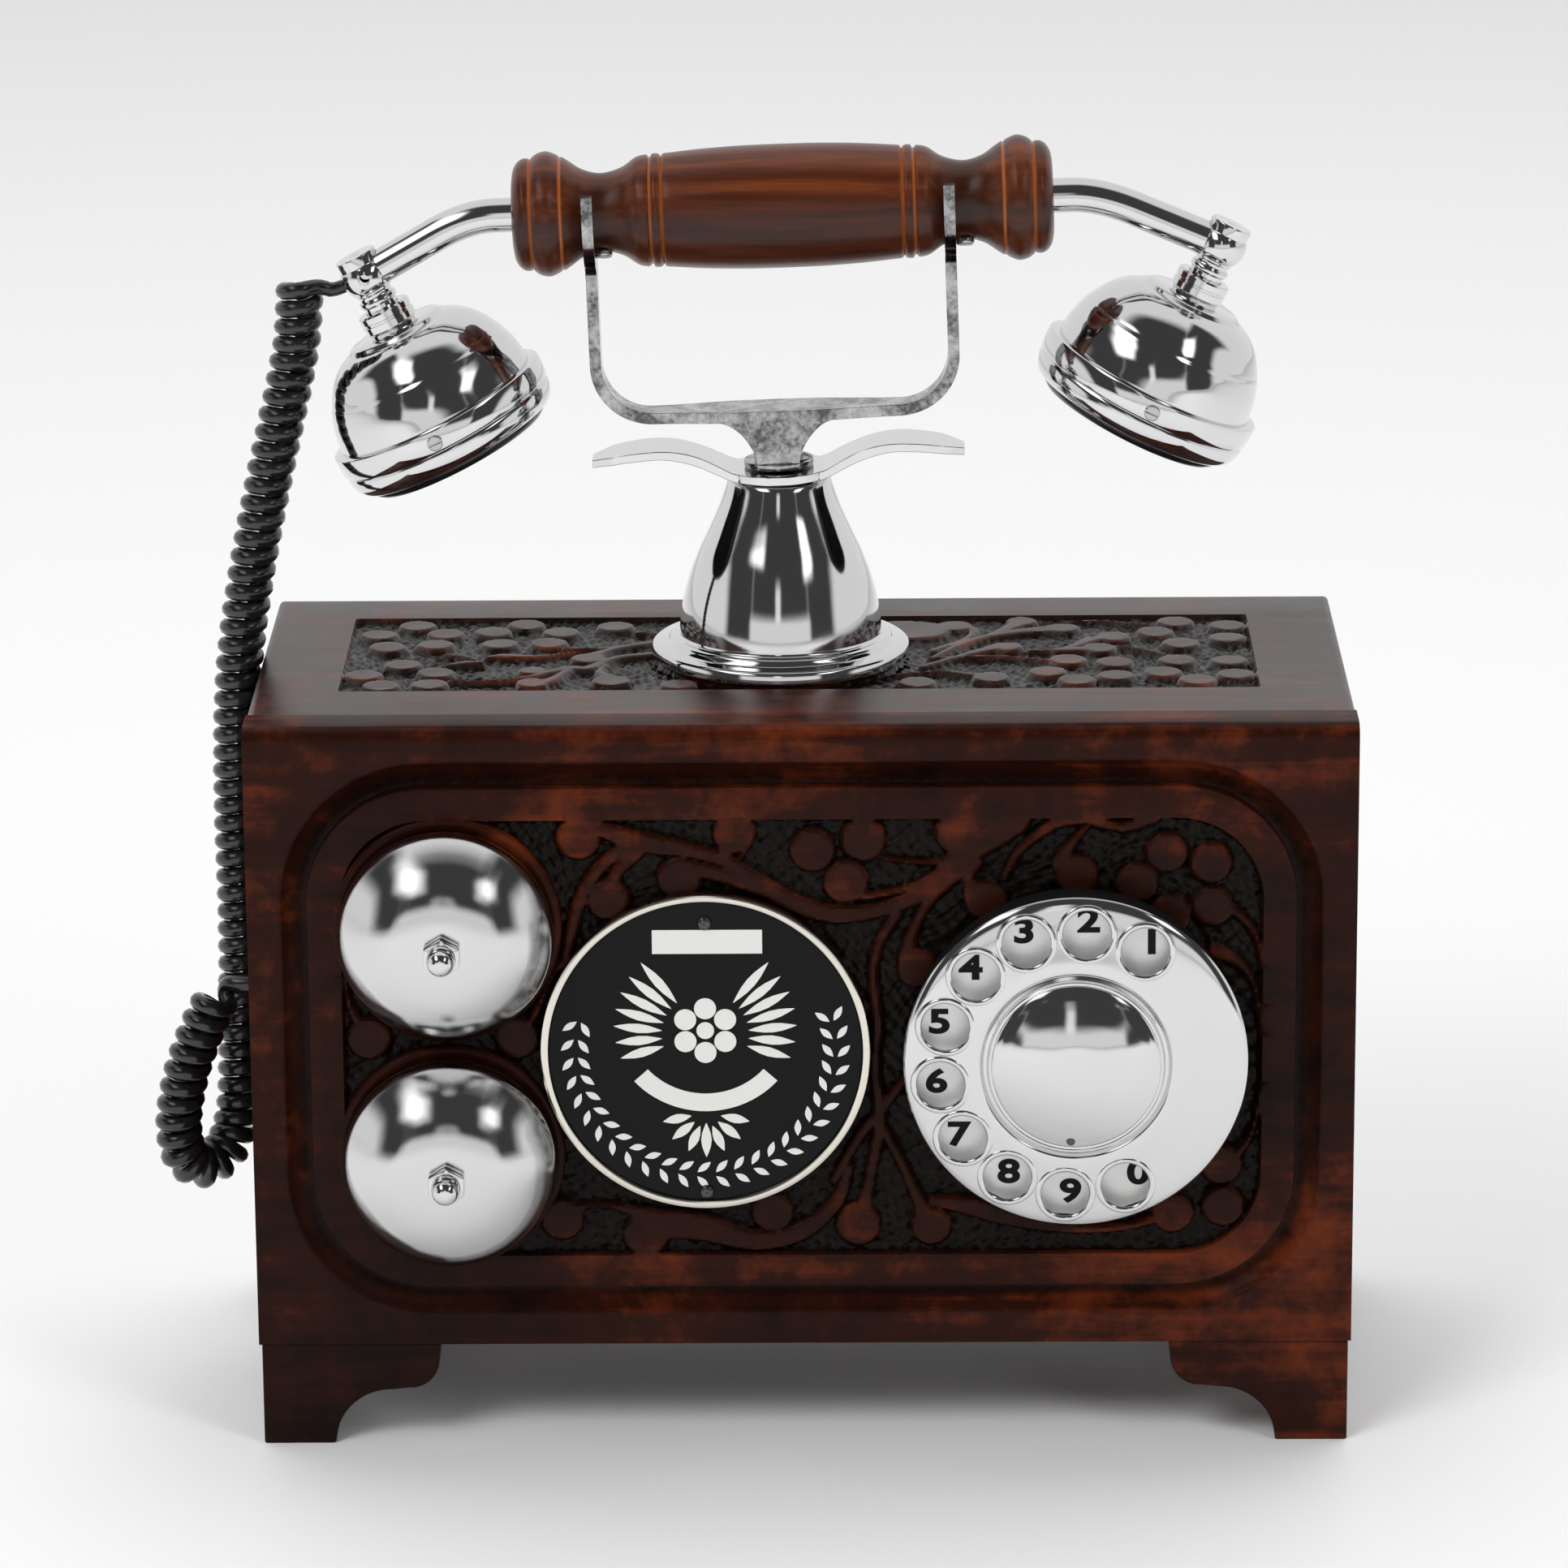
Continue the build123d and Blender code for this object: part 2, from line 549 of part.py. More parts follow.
def dial_spring():
    """The flat spiral spring between the spindle and the can."""
    turns = 3.5
    first = SHAFT_RADIUS + 1.6
    growth = 2.4
    ribbon = 0.5
    steps = 84
    outer = []
    inner = []
    for i in range(steps + 1):
        a = 2 * pi * turns * i / steps
        r = first + growth * a / (2 * pi)
        inner.append((r * cos(a), r * sin(a)))
        outer.append(((r + ribbon) * cos(a), (r + ribbon) * sin(a)))
    band = make_face(Polyline(*(outer + inner[::-1]), close=True))
    return slab(at(DIAL_X, FACE_Z) * band, 2.0, 7.0)


def dial_contacts():
    """Two leaf contacts in an insulating block, under the gear's rim."""
    x = DIAL_X + 18.0
    z = FACE_Z - 17.0
    blocky = block(x - 4, x + 4, 17.5, CAN_BACK - 1.5, z - 4, z + 4)
    for dy in (1.2, 3.4):
        blocky += block(x - 15, x + 2, 17.5 + dy, 18.0 + dy, z - 2, z + 2)
    return blocky


# ---- stand and cradle ---------------------------------------------------------------------------
STAND_TOP = 213.0
FLANGE_RADIUS = 29.8
ROD_RADIUS = 2.5
STAND_WALL = 1.5
STAND_SCREW_RADIUS = 1.4
STAND_SCREW_CIRCLE = 26.0
BUSH_LENGTH = 7.0
COLLAR_Z = 199.0
ROD_END = 147.4
WING_HALF = 42.8
WING_THICK = 2.0
WING_GAP = 0.4
BAR_THICK = 2.6
PRONG_HALF = FORK_GAP / 2
SLOT_RADIUS = 10.6
NECK_Z = HANDLE_Z - STAND_TOP
TINE = 2.9
TINE_TOP = NECK_Z + 6.0


def stand_screw_places():
    """Three screws on a circle under the flange."""
    angles = [radians(90 + 120 * i) for i in range(3)]
    return [(STAND_X + STAND_SCREW_CIRCLE * cos(a), STAND_Y + STAND_SCREW_CIRCLE * sin(a)) for a in angles]


def cone_stand():
    """The spun stand: stepped flange, bell-shaped body, flat top bored for the guide bush."""
    height = STAND_TOP - BOX_TOP
    rim = Line((0, 0), (FLANGE_RADIUS, 0))
    edge = Line((FLANGE_RADIUS, 0), (FLANGE_RADIUS, 2.6))
    step = Polyline((FLANGE_RADIUS, 2.6), (FLANGE_RADIUS - 0.6, 3.2), (25.6, 3.5), (25.2, 4.8), (23.4, 5.2))
    side = Spline((23.4, 5.2), (23.0, 8.6), (22.4, 13.4), (21.0, 18.6), (18.9, 24.2), (16.4, 29.6),
                  (13.9, 35.4), (11.9, height - 1.2))
    top = Polyline((11.9, height - 1.2), (11.3, height), (0, height))
    axis = Line((0, height), (0, 0))
    body = revolve(make_face(Plane.XZ * (rim + edge + step + side + top + axis)), Axis.Z)
    core_side = Spline((21.6, 3.0), (21.2, 8.6), (20.8, 13.4), (19.4, 18.6), (17.3, 24.2), (14.8, 29.6),
                       (12.3, 35.4), (10.6, height - 3.0))
    core_base = Polyline((0, -1), (21.6, -1), (21.6, 3.0))
    core_top = Polyline((10.6, height - 3.0), (0, height - 3.0), (0, -1))
    body -= revolve(make_face(Plane.XZ * (core_base + core_side + core_top)), Axis.Z)
    body -= Pos(0, 0, height) * Cylinder(4.5, 20)
    for x, y in stand_screw_places():
        body -= Pos(x - STAND_X, y - STAND_Y, 0) * Cylinder(STAND_SCREW_RADIUS + 0.05, 4.6)
    return Pos(STAND_X, STAND_Y, BOX_TOP) * body


def stand_screws():
    """Three screws up through the top board into the flange."""
    screw = pan_screw(2.8, 1.6, STAND_SCREW_RADIUS, BOARD_THICK + 2.1)
    return [Pos(x, y, BOX_TOP - BOARD_THICK) * Rot(180, 0, 0) * screw for x, y in stand_screw_places()]


def guide_bush():
    """The shouldered bush in the stand's top that the plunger rod slides in."""
    top = STAND_TOP
    inner = ROD_RADIUS + 0.05
    corners = [(inner, top - BUSH_LENGTH), (6.5, top - BUSH_LENGTH), (6.5, top - 3.05), (4.45, top - 3.05),
               (4.45, top), (inner, top)]
    return turned(corners, STAND_X, STAND_Y)


def leaned(shape):
    """A cradle piece drawn over the stand's top, tipped by the cradle's lean."""
    return Pos(STAND_X, STAND_Y, STAND_TOP) * Rot(0, LEAN, 0) * shape


def wing_plate():
    """The bent leaf under the yoke: flat middle, raised arms that droop to rounded tips."""
    t = WING_THICK
    w = WING_HALF
    lower = Spline((9.0, 0), (12.5, 1.1), (19.0, 4.0), (26.5, 5.8), (34.0, 5.4), (w, 3.6),
                   tangents=[(1, 0.05), (1, -0.3)])
    upper = Spline((9.0, t), (12.0, t + 1.0), (18.4, t + 4.1), (26.4, t + 5.8), (34.4, t + 5.3),
                   (w, t + 3.4), tangents=[(1, 0.05), (1, -0.3)])
    tip = Line((w, 3.6), (w, t + 3.4))
    root = Polyline((9.0, t), (0, t), (0, 0), (9.0, 0))
    half = extrude(Plane.XZ * make_face(lower + tip + upper + root), amount=12, both=True)
    leaf = half + mirror(half, Plane.YZ)
    arm = Polyline((0, 8.0), (10, 8.0), (18, 6.8), (30, 7.4), (38, 6.6), (w, 3.2), (w, -3.2), (38, -6.6),
                   (30, -7.4), (18, -6.8), (10, -8.0), (0, -8.0), close=True)
    plan = make_face(arm)
    outline = plan + mirror(plan, Plane.YZ) + Circle(12.2)
    leaf = leaf & Pos(0, 0, -5) * extrude(outline, amount=20)
    leaf = leaned(Pos(0, 0, WING_GAP) * leaf)
    return leaf - rod((STAND_X, STAND_Y, STAND_TOP - 5), (0, 0, 1), ROD_RADIUS + 0.6, 20)


def yoke_front():
    """The yoke's front outline: bar, rounded corners, prongs, and the boss that flares from the collar."""
    low = 14.0
    corner = 14.0
    p = PRONG_HALF
    t = BAR_THICK
    fork_base = NECK_Z - SLOT_RADIUS - TINE
    outer = FilletPolyline((-p - t / 2, fork_base), (-p - t / 2, low), (p + t / 2, low),
                           (p + t / 2, fork_base), radius=corner)
    inner = FilletPolyline((p - t / 2, fork_base), (p - t / 2, low + t), (-p + t / 2, low + t),
                           (-p + t / 2, fork_base), radius=corner - t)
    ends = Line((p + t / 2, fork_base), (p - t / 2, fork_base)) + Line((-p + t / 2, fork_base),
                                                                      (-p - t / 2, fork_base))
    strap = make_face(outer + inner + ends)
    right = Spline((4.8, 4.0), (6.0, 8.0), (9.2, 12.2), (15.0, low + 0.4), tangents=[(0.15, 1), (1, 0.1)])
    left = Spline((-15.0, low + 0.4), (-9.2, 12.2), (-6.0, 8.0), (-4.8, 4.0),
                  tangents=[(1, -0.1), (0.15, -1)])
    across = Line((15.0, low + 0.4), (-15.0, low + 0.4))
    boss = make_face(right + across + left + Line((-4.8, 4.0), (4.8, 4.0)))
    return strap + boss


def cradle_yoke():
    """The U-shaped yoke: a bar broad at its middle, two prongs, and a fork at the top of each."""
    strap = extrude(Plane.XZ * yoke_front(), amount=14, both=True)
    b = PRONG_HALF + BAR_THICK
    broad = Polyline((0, 6.4), (10, 6.2), (24, 4.2), (32, 3.75), (b, 3.75), (b, -3.75), (32, -3.75),
                     (24, -4.2), (10, -6.2), (0, -6.4), close=True)
    plan = make_face(broad)
    plan = plan + mirror(plan, Plane.YZ)
    yoke = strap & Pos(0, 0, -5) * extrude(plan, amount=100)
    collar = Pos(0, 0, 2.85) * Cylinder(8.0, 1.3, align=(Align.CENTER, Align.CENTER, Align.MIN))
    neck = Pos(0, 0, 2.85) * Cylinder(5.6, 3.2, align=(Align.CENTER, Align.CENTER, Align.MIN))
    yoke = yoke + collar + neck
    fork = extrude(Plane.YZ * fork_side(), amount=BAR_THICK)
    for side in (-1, 1):
        yoke += Pos(side * PRONG_HALF - BAR_THICK / 2, 0, 0) * fork
    yoke = leaned(yoke)
    return yoke - rod((STAND_X, STAND_Y, STAND_TOP), (0, 0, 1), ROD_RADIUS, 12)


def fork_side():
    """A fork seen from the side: a stem that opens into two tines round the handle's neck."""
    out = SLOT_RADIUS + TINE
    cup = Pos(0, NECK_Z) * Circle(out)
    tines = Pos(0, (NECK_Z + TINE_TOP) / 2) * Rectangle(2 * out, TINE_TOP - NECK_Z)
    slot = Pos(0, NECK_Z) * Circle(SLOT_RADIUS)
    slot += Pos(0, NECK_Z + 15) * Rectangle(2 * SLOT_RADIUS, 30)
    above = Pos(0, TINE_TOP + 15) * Rectangle(3 * out, 30)
    low = NECK_Z - out
    foot_line = Polyline((-3.75, low - 2), (3.75, low - 2), (6.5, low + 2.6), (-6.5, low + 2.6), close=True)
    stem = make_face(foot_line)
    return (cup + tines + stem) - slot - above


def plunger_rod():
    """The rod under the yoke: it slides in the bush and presses the hook switch."""
    shaft = rod((STAND_X, STAND_Y, ROD_END), (0, 0, 1), ROD_RADIUS, STAND_TOP + 12 - ROD_END)
    collar = rod((STAND_X, STAND_Y, COLLAR_Z), (0, 0, 1), 6.5, 1.6)
    return shaft + collar


def return_spring():
    """The compression spring between the top board and the rod's collar."""
    wire = 0.45
    radius = 5.0
    low = BOX_TOP + 1.0
    height = COLLAR_Z - 0.6 - low
    coil = Helix(pitch=height / 7, height=height, radius=radius)
    start = Plane(origin=coil @ 0, z_dir=coil % 0)
    spring = sweep(start * Circle(wire), path=coil, is_frenet=True)
    return Pos(STAND_X, STAND_Y, low) * spring


def hook_switch():
    """A bracket and leaf contacts under the top board, below the rod's end."""
    under = BOX_TOP - BOARD_THICK
    x = STAND_X
    y = STAND_Y
    body = block(x + 9, x + 19, y - 6, y + 6, ROD_END - 9, under)
    for drop in (0.9, 3.4, 5.9):
        z = ROD_END - drop
        body += block(x - 8, x + 12, y - 3, y + 3, z - 0.4, z)
    return body


# ---- handset ------------------------------------------------------------------------------------
HANDLE_HALF = 61.5
NECK_AT = 41.2
TUBE_RADIUS = 4.0
TUBE_WALL = 1.0
DISC_Z = -7.9
DISC_X = {-1: -98.2, 1: 102.2}
CUP_TILT = {-1: 25.0, 1: 28.5}
BALL_AT = 5.4
BALL_RADIUS = 5.7
FLANGE_AT = 19.2
CAP_TOP = 39.4
MOUTH_AT = 50.0
CAP_SCREW_AT = 42.4
CAP_SCREW_SEAT = 26.32
LEAD_TOP_RADIUS = 1.5


def handset(shape):
    """A handset piece drawn about the handle's centre, placed across the cradle."""
    return Pos(HANDLE_X, STAND_Y, HANDLE_Z) * Rot(0, LEAN, 0) * shape


def cup_place(side):
    """The frame of one cup: origin on the elbow's flat top, z towards the mouth."""
    return Pos(DISC_X[side], 0, DISC_Z) * Rot(0, 180 + side * CUP_TILT[side], 0)


def on_cup(side, shape):
    """A piece drawn on a cup's own axis, placed on the handset."""
    return handset(cup_place(side) * shape)


def neck_screw_place(side):
    """Where a neck's screw head sits, under the neck and a little to the front."""
    return Pos(side * NECK_AT, 0, 0) * Rot(-21, 0, 0) * Pos(0, 0, -9.2)


def handle():
    """The turned handle: end beads, necks, flares with two fine grooves, and a long barrel."""
    barrel = Spline((0, 14.1), (12, 13.9), (26.6, 12.9))
    grooves = Polyline((26.6, 12.9), (27.2, 12.2), (27.8, 12.9), (29.6, 12.9), (30.2, 12.2), (30.8, 12.7))
    neck = Spline((30.8, 12.7), (33.2, 12.2), (36.6, 10.0), (NECK_AT, 8.9), (45.4, 9.9), (49.0, 12.4),
                  (50.0, 12.9))
    beads = Spline((50.0, 12.9), (51.4, 13.6), (53.5, 14.25), (55.8, 13.7), (57.2, 12.6))
    tail = Spline((57.2, 12.6), (58.6, 12.7), (60.4, 11.4), (HANDLE_HALF, 8.6))
    closing = Polyline((HANDLE_HALF, 8.6), (HANDLE_HALF, 0), (0, 0), (0, 14.1))
    half = revolve(make_face(Plane.XZ * (barrel + grooves + neck + beads + tail + closing)), Axis.X)
    whole = half + mirror(half, Plane.YZ)
    whole -= Rot(0, 90, 0) * Cylinder(3.0, 2 * HANDLE_HALF + 2)
    for side in (-1, 1):
        whole -= Pos(side * HANDLE_HALF, 0, 0) * Rot(0, 90, 0) * Cylinder(TUBE_RADIUS + 0.05, 28)
        whole -= neck_screw_place(side) * Cylinder(0.85, 9)
    return handset(whole)


def handle_screws():
    """A small screw up into each neck."""
    screw = Rot(180, 0, 0) * pan_screw(2.1, 1.3, 0.8, 3.5)
    return [handset(neck_screw_place(side) * screw) for side in (-1, 1)]


def tube(side):
    """A bent tube from the handle's end down into the elbow."""
    place = cup_place(side)
    ball = place * Pos(0, 0, BALL_AT)
    end = ball.position
    start = (side * (HANDLE_HALF - 13.0), 0, 0)
    knee = (side * (HANDLE_HALF + 10.5), 0, 0)
    reach = hypot(end.X - knee[0], end.Z)
    stop = 1.0 - 2.2 / reach
    finish = (knee[0] + (end.X - knee[0]) * stop, 0, end.Z * stop)
    path = FilletPolyline(start, knee, finish, radius=42.0)
    outer = sweep(Plane(origin=start, z_dir=(side, 0, 0)) * Circle(TUBE_RADIUS), path=path)
    inner = sweep(Plane(origin=start, z_dir=(side, 0, 0)) * Circle(TUBE_RADIUS - TUBE_WALL), path=path)
    return handset(outer - inner)


def elbow(side):
    """The cast elbow: flat top, ball bored for the tube, grooved neck with a threaded tail."""
    corners = [(0, 0), (4.6, 0), (4.9, 0.3), (4.9, 2.2), (4.4, 3.0), (4.4, 9.2), (4.0, 9.8), (4.0, 10.6),
               (4.5, 11.0), (4.5, 12.0), (4.0, 12.4), (4.0, 21.8), (0, 21.8)]
    body = turned(corners) + Pos(0, 0, BALL_AT) * Sphere(BALL_RADIUS)
    place = cup_place(side)
    ball = (place * Pos(0, 0, BALL_AT)).position
    knee = Vector(side * (HANDLE_HALF + 10.5), 0, 0)
    towards = knee - ball
    bore = Plane(origin=ball + towards.normalized() * 2.0, z_dir=towards)
    socket = extrude(bore * Circle(TUBE_RADIUS + 0.03), amount=20)
    body = place * body - socket
    upward = (Align.CENTER, Align.CENTER, Align.MIN)
    centre = place * Pos(0, 0, BALL_AT)
    body -= centre * Cylinder(1.9, 17, align=upward)
    if side < 0:
        body -= centre * Rot(0, 90, 0) * Cylinder(LEAD_TOP_RADIUS + 0.1, 8, align=upward)
        body -= centre * Rot(90, 0, 0) * Cylinder(1.3, 20)
    return handset(body)


def collar_nuts():
    """The round nut that clamps each cup to its elbow."""
    corners = [(4.05, 13.6), (5.9, 13.6), (6.3, 14.0), (6.3, 17.8), (5.6, 18.4), (5.6, FLANGE_AT - 0.02),
               (4.05, FLANGE_AT - 0.02)]
    return [on_cup(side, turned(corners)) for side in (-1, 1)]


def cup_shell(side):
    """A spun cup: grooved top flange, domed shoulder and a body that widens to the cap."""
    flange = Polyline((4.05, FLANGE_AT), (11.2, FLANGE_AT), (11.5, FLANGE_AT + 0.5), (12.2, 20.6))
    shoulder = Spline((12.2, 20.6), (15.6, 22.0), (18.8, 24.6), (20.9, 27.8))
    body = Spline((20.9, 27.8), (22.3, 31.0), (23.5, 35.0), (24.3, CAP_TOP + 5.4))
    lip = Line((24.3, CAP_TOP + 5.4), (23.0, CAP_TOP + 5.4))
    inside = Spline((23.0, CAP_TOP + 5.4), (22.1, 35.0), (20.9, 31.0), (19.6, 28.4))
    roof = Polyline((19.6, 28.4), (17.4, 25.6), (14.6, 23.2), (11.0, 21.6), (4.05, 21.2), (4.05, FLANGE_AT))
    face = make_face(Plane.XZ * (flange + shoulder + body + lip + inside + roof))
    return on_cup(side, revolve(face, Axis.Z))


def cap_ring(side):
    """The screwed cap that holds the insert: an upper band, a fine groove and a rounded lower band."""
    corners = [(24.4, CAP_TOP), (25.9, CAP_TOP), (26.3, CAP_TOP + 0.5), (26.1, 44.6), (25.7, 45.0),
               (25.8, 45.5), (25.4, 47.4), (24.6, 49.0), (23.4, MOUTH_AT), (22.4, MOUTH_AT),
               (22.4, 48.6), (22.9, 48.6), (22.9, 45.1), (24.4, 45.1)]
    ring = turned(corners)
    hole = Cylinder(0.85, 40, align=(Align.CENTER, Align.CENTER, Align.MIN))
    ring -= Pos(0, 0, CAP_SCREW_AT) * Rot(90, 0, 0) * hole
    return on_cup(side, ring)


def cap_screws():
    """A small screw in the front of each cap."""
    screw = pan_screw(1.8, 0.7, 0.8, 1.6, slot=0.5)
    return [on_cup(side, Pos(0, -CAP_SCREW_SEAT, CAP_SCREW_AT) * Rot(90, 0, 0) * screw) for side in (-1, 1)]


def mouth_insert(side, hole_rings):
    """The moulded insert behind the cap's lip, dished and pierced with rings of holes."""
    corners = [(0, 45.6), (22.8, 45.6), (22.8, 48.5), (22.3, 48.5), (22.3, 50.6), (21.2, 51.8), (18.6, 51.9),
               (16.0, 50.4), (8.0, 49.4), (0, 49.2)]
    insert = turned(corners)
    for count, radius in hole_rings:
        for i in range(count):
            a = 2 * pi * i / count
            insert -= Pos(radius * cos(a), radius * sin(a), 48) * Cylinder(0.9, 12)
    return on_cup(side, insert)


def capsule(side):
    """The sealed sound unit inside a cup."""
    corners = [(0, 30.5), (12.0, 30.5), (19.0, 34.5), (20.5, 35.5), (20.5, 42.0), (18.0, 44.0), (0, 44.0)]
    return on_cup(side, turned(corners))


# ---- cords and wiring ---------------------------------------------------------------------------
CURL_RADIUS = 5.65
LEAD_RADIUS = 2.0
CURL_ROUTE = [
    (-114.2, 64.0, 259.0), (-114.6, 64.3, 248.0), (-117.0, 64.6, 236.0), (-123.0, 65.0, 211.0),
    (-127.8, 65.4, 188.0), (-131.4, 65.8, 165.0), (-132.4, 66.2, 135.0), (-132.0, 66.4, 105.0),
    (-132.8, 66.0, 78.0), (-133.4, 65.0, 60.0), (-136.0, 61.5, 51.0), (-141.5, 56.0, 47.5),
    (-146.2, 51.5, 52.0), (-147.0, 49.4, 62.0), (-144.6, 48.4, 74.0), (-140.6, 48.0, 85.0),
    (-136.4, 48.0, 93.0),
]
BOTTOM_LEAD_ROUTE = [(-136.4, 48.0, 93.0), (-134.825, 48.0, 96.0), (-118.0, 48.0, 96.0)]


def route_radii(route):
    """The arc at each corner: 0.45 of its shorter run over the tangent of half its turn."""
    points = [Vector(*p) for p in route]
    radii = []
    for before, corner, after in zip(points, points[1:], points[2:]):
        turn = radians((corner - before).get_angle(after - corner))
        shorter = min((corner - before).length, (after - corner).length)
        radii.append(0.45 * shorter / tan(turn / 2))
    return radii


def cord_tube(route, radius):
    """A round tube along straight runs joined by tangent arcs."""
    radii = route_radii(route)
    path = FilletPolyline(*route, radius=radii)
    start = Plane(origin=route[0], z_dir=Vector(*route[1]) - Vector(*route[0]))
    solid = sweep(start * Circle(radius), path=path)
    expected = pi * radius ** 2 * path.length
    print("cord radii", [round(r, 1) for r in radii], "length", round(path.length, 1),
          "volume share", round(solid.volume / expected, 4))
    return solid


def top_lead(curl):
    """The thin lead from the elbow's side hole to the side of the curl's first turn."""
    mouth = (handset(cup_place(-1) * Pos(BALL_RADIUS - 1.0, 0, BALL_AT))).position
    outward = (handset(cup_place(-1) * Pos(BALL_RADIUS + 1.6, 0, BALL_AT))).position
    end = CURL_ROUTE[0]
    route = [tuple(mouth), tuple(outward), (end[0] + 2.0, end[1], end[2] - 4.5)]
    path = FilletPolyline(*route, radius=3.0)
    start = Plane(origin=route[0], z_dir=outward - mouth)
    return sweep(start * Circle(LEAD_TOP_RADIUS), path=path) - curl


def cord_grommet():
    """The flanged rubber grommet in the left side."""
    y, z = GROMMET_AT
    body = rod((-HALF_W - 2.2, y, z), (1, 0, 0), 7.0, 2.2)
    body = fillet(body.edges().sort_by(Axis.X)[0], 1.2)
    body += rod((-HALF_W - 0.1, y, z), (1, 0, 0), GROMMET_HOLE - 0.05, BOARD_THICK + 0.1)
    return body - rod((-HALF_W - 5, y, z), (1, 0, 0), LEAD_RADIUS + 0.1, 20)


def line_inlet():
    """The round gland in the back for the exchange line's cord."""
    x, z = INLET_AT
    body = rod((x, BOX_DEPTH, z), (0, 1, 0), 8.5, GLAND_REACH)
    body = chamfer(body.edges().sort_by(Axis.Y)[-1], 1.5)
    body += rod((x, BOX_DEPTH - BACK_THICK - 2, z), (0, 1, 0), INLET_HOLE - 0.05, BACK_THICK + 3)
    return body - rod((x, BOX_DEPTH - 20, z), (0, 1, 0), INLET_BORE, 40)


def terminal_block():
    """A moulded strip on the box's floor with six clamping screws."""
    z = BOX_BASE + BACK_THICK
    strip = block(50, 98, 44, 58, z, z + 9)
    for i in range(6):
        strip -= Pos(54 + 8 * i, 51, z + 9) * Cylinder(2.6, 5)
        strip += Pos(54 + 8 * i, 51, z + 6.5) * Cylinder(2.2, 3)
    return strip


def induction_coil():
    """The speech transformer: a laminated core through a wound bobbin."""
    z = BOX_BASE + BACK_THICK
    core = block(-36, -4, 40, 66, z, z + 6) + block(-36, -4, 40, 66, z + 20, z + 26)
    for x in (-36, -10):
        core += block(x, x + 6, 40, 66, z + 5, z + 21)
    winding = block(-29, -11, 43, 63, z + 6.2, z + 19.8)
    return [core, winding]


def main():
    """Write every sub-part."""
    save("front_panel", front_panel())
    save("top_board", top_board())
    save("left_side_board", side_board(-1))
    save("right_side_board", side_board(1))
    save("bottom_board", bottom_board())
    save("back_panel", back_panel())
    save("back_panel_screws", *back_panel_screws())
    for name, y_side in (("front", -1), ("rear", 1)):
        save(f"{name}_feet", foot(-1, y_side), foot(1, y_side))
    save("badge_rim", badge_rim())
    save("badge_plate", badge_plate())
    save("badge_screws", *badge_screws())
    save("bell_upper", bell(BELL_UPPER_Z))
    save("bell_lower", bell(BELL_LOWER_Z))
    save("bell_posts", *bell_posts())
    save("bell_hex_nuts", *bell_hex_nuts())
    save("bell_acorn_nuts", *bell_acorn_nuts())
    save("ringer_frame", ringer_frame())
    save("ringer_coils", *ringer_coils())
    save("ringer_core", ringer_core())
    save("clapper", clapper())
    save("clapper_pin", clapper_pin())
    save("dial_bezel", dial_bezel())
    save("dial_case", dial_case() + governor_pin())
    save("dial_bush", dial_bush())
    save("number_plate", number_plate())
    save("finger_wheel", finger_wheel())
    save("dial_cap", dial_cap())
    save("dial_shaft", dial_shaft())
    save("dial_spring", dial_spring())
    save("dial_governor", governor())
    save("dial_contacts", dial_contacts())
    save("cone_stand", cone_stand())
    save("stand_screws", *stand_screws())
    save("guide_bush", guide_bush())
    save("wing_plate", wing_plate())
    save("cradle_yoke", cradle_yoke())
    save("plunger_rod", plunger_rod())
    save("return_spring", return_spring())
    save("hook_switch", hook_switch())
    save("handle", handle())
    save("collar_nuts", *collar_nuts())
    save("handset_screws", *handle_screws(), *cap_screws())
    for name, side in (("left", -1), ("right", 1)):
        save(f"tube_{name}", tube(side))
        save(f"elbow_{name}", elbow(side))
    for name, side in (("transmitter", -1), ("receiver", 1)):
        save(f"{name}_cup", cup_shell(side))
    save("cap_rings", cap_ring(-1), cap_ring(1))
    save("sound_capsules", capsule(-1), capsule(1))
    save("mouthpiece", mouth_insert(-1, [(1, 0), (6, 4), (12, 8)]))
    save("earpiece", mouth_insert(1, [(1, 0), (6, 4)]))
    curl = cord_tube(CURL_ROUTE, CURL_RADIUS)
    save("handset_cord", curl)
    save("cord_top_lead", top_lead(curl))
    save("cord_bottom_lead", cord_tube(BOTTOM_LEAD_ROUTE, LEAD_RADIUS))
    save("cord_grommet", cord_grommet())
    save("line_inlet", line_inlet())
    save("terminal_block", terminal_block())
    save("induction_coil", *induction_coil())


main()
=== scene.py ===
import json
from math import atan2, cos, hypot, pi, radians, sin

import bmesh
import bpy
import numpy as np
from mathutils import Euler, Matrix, Vector

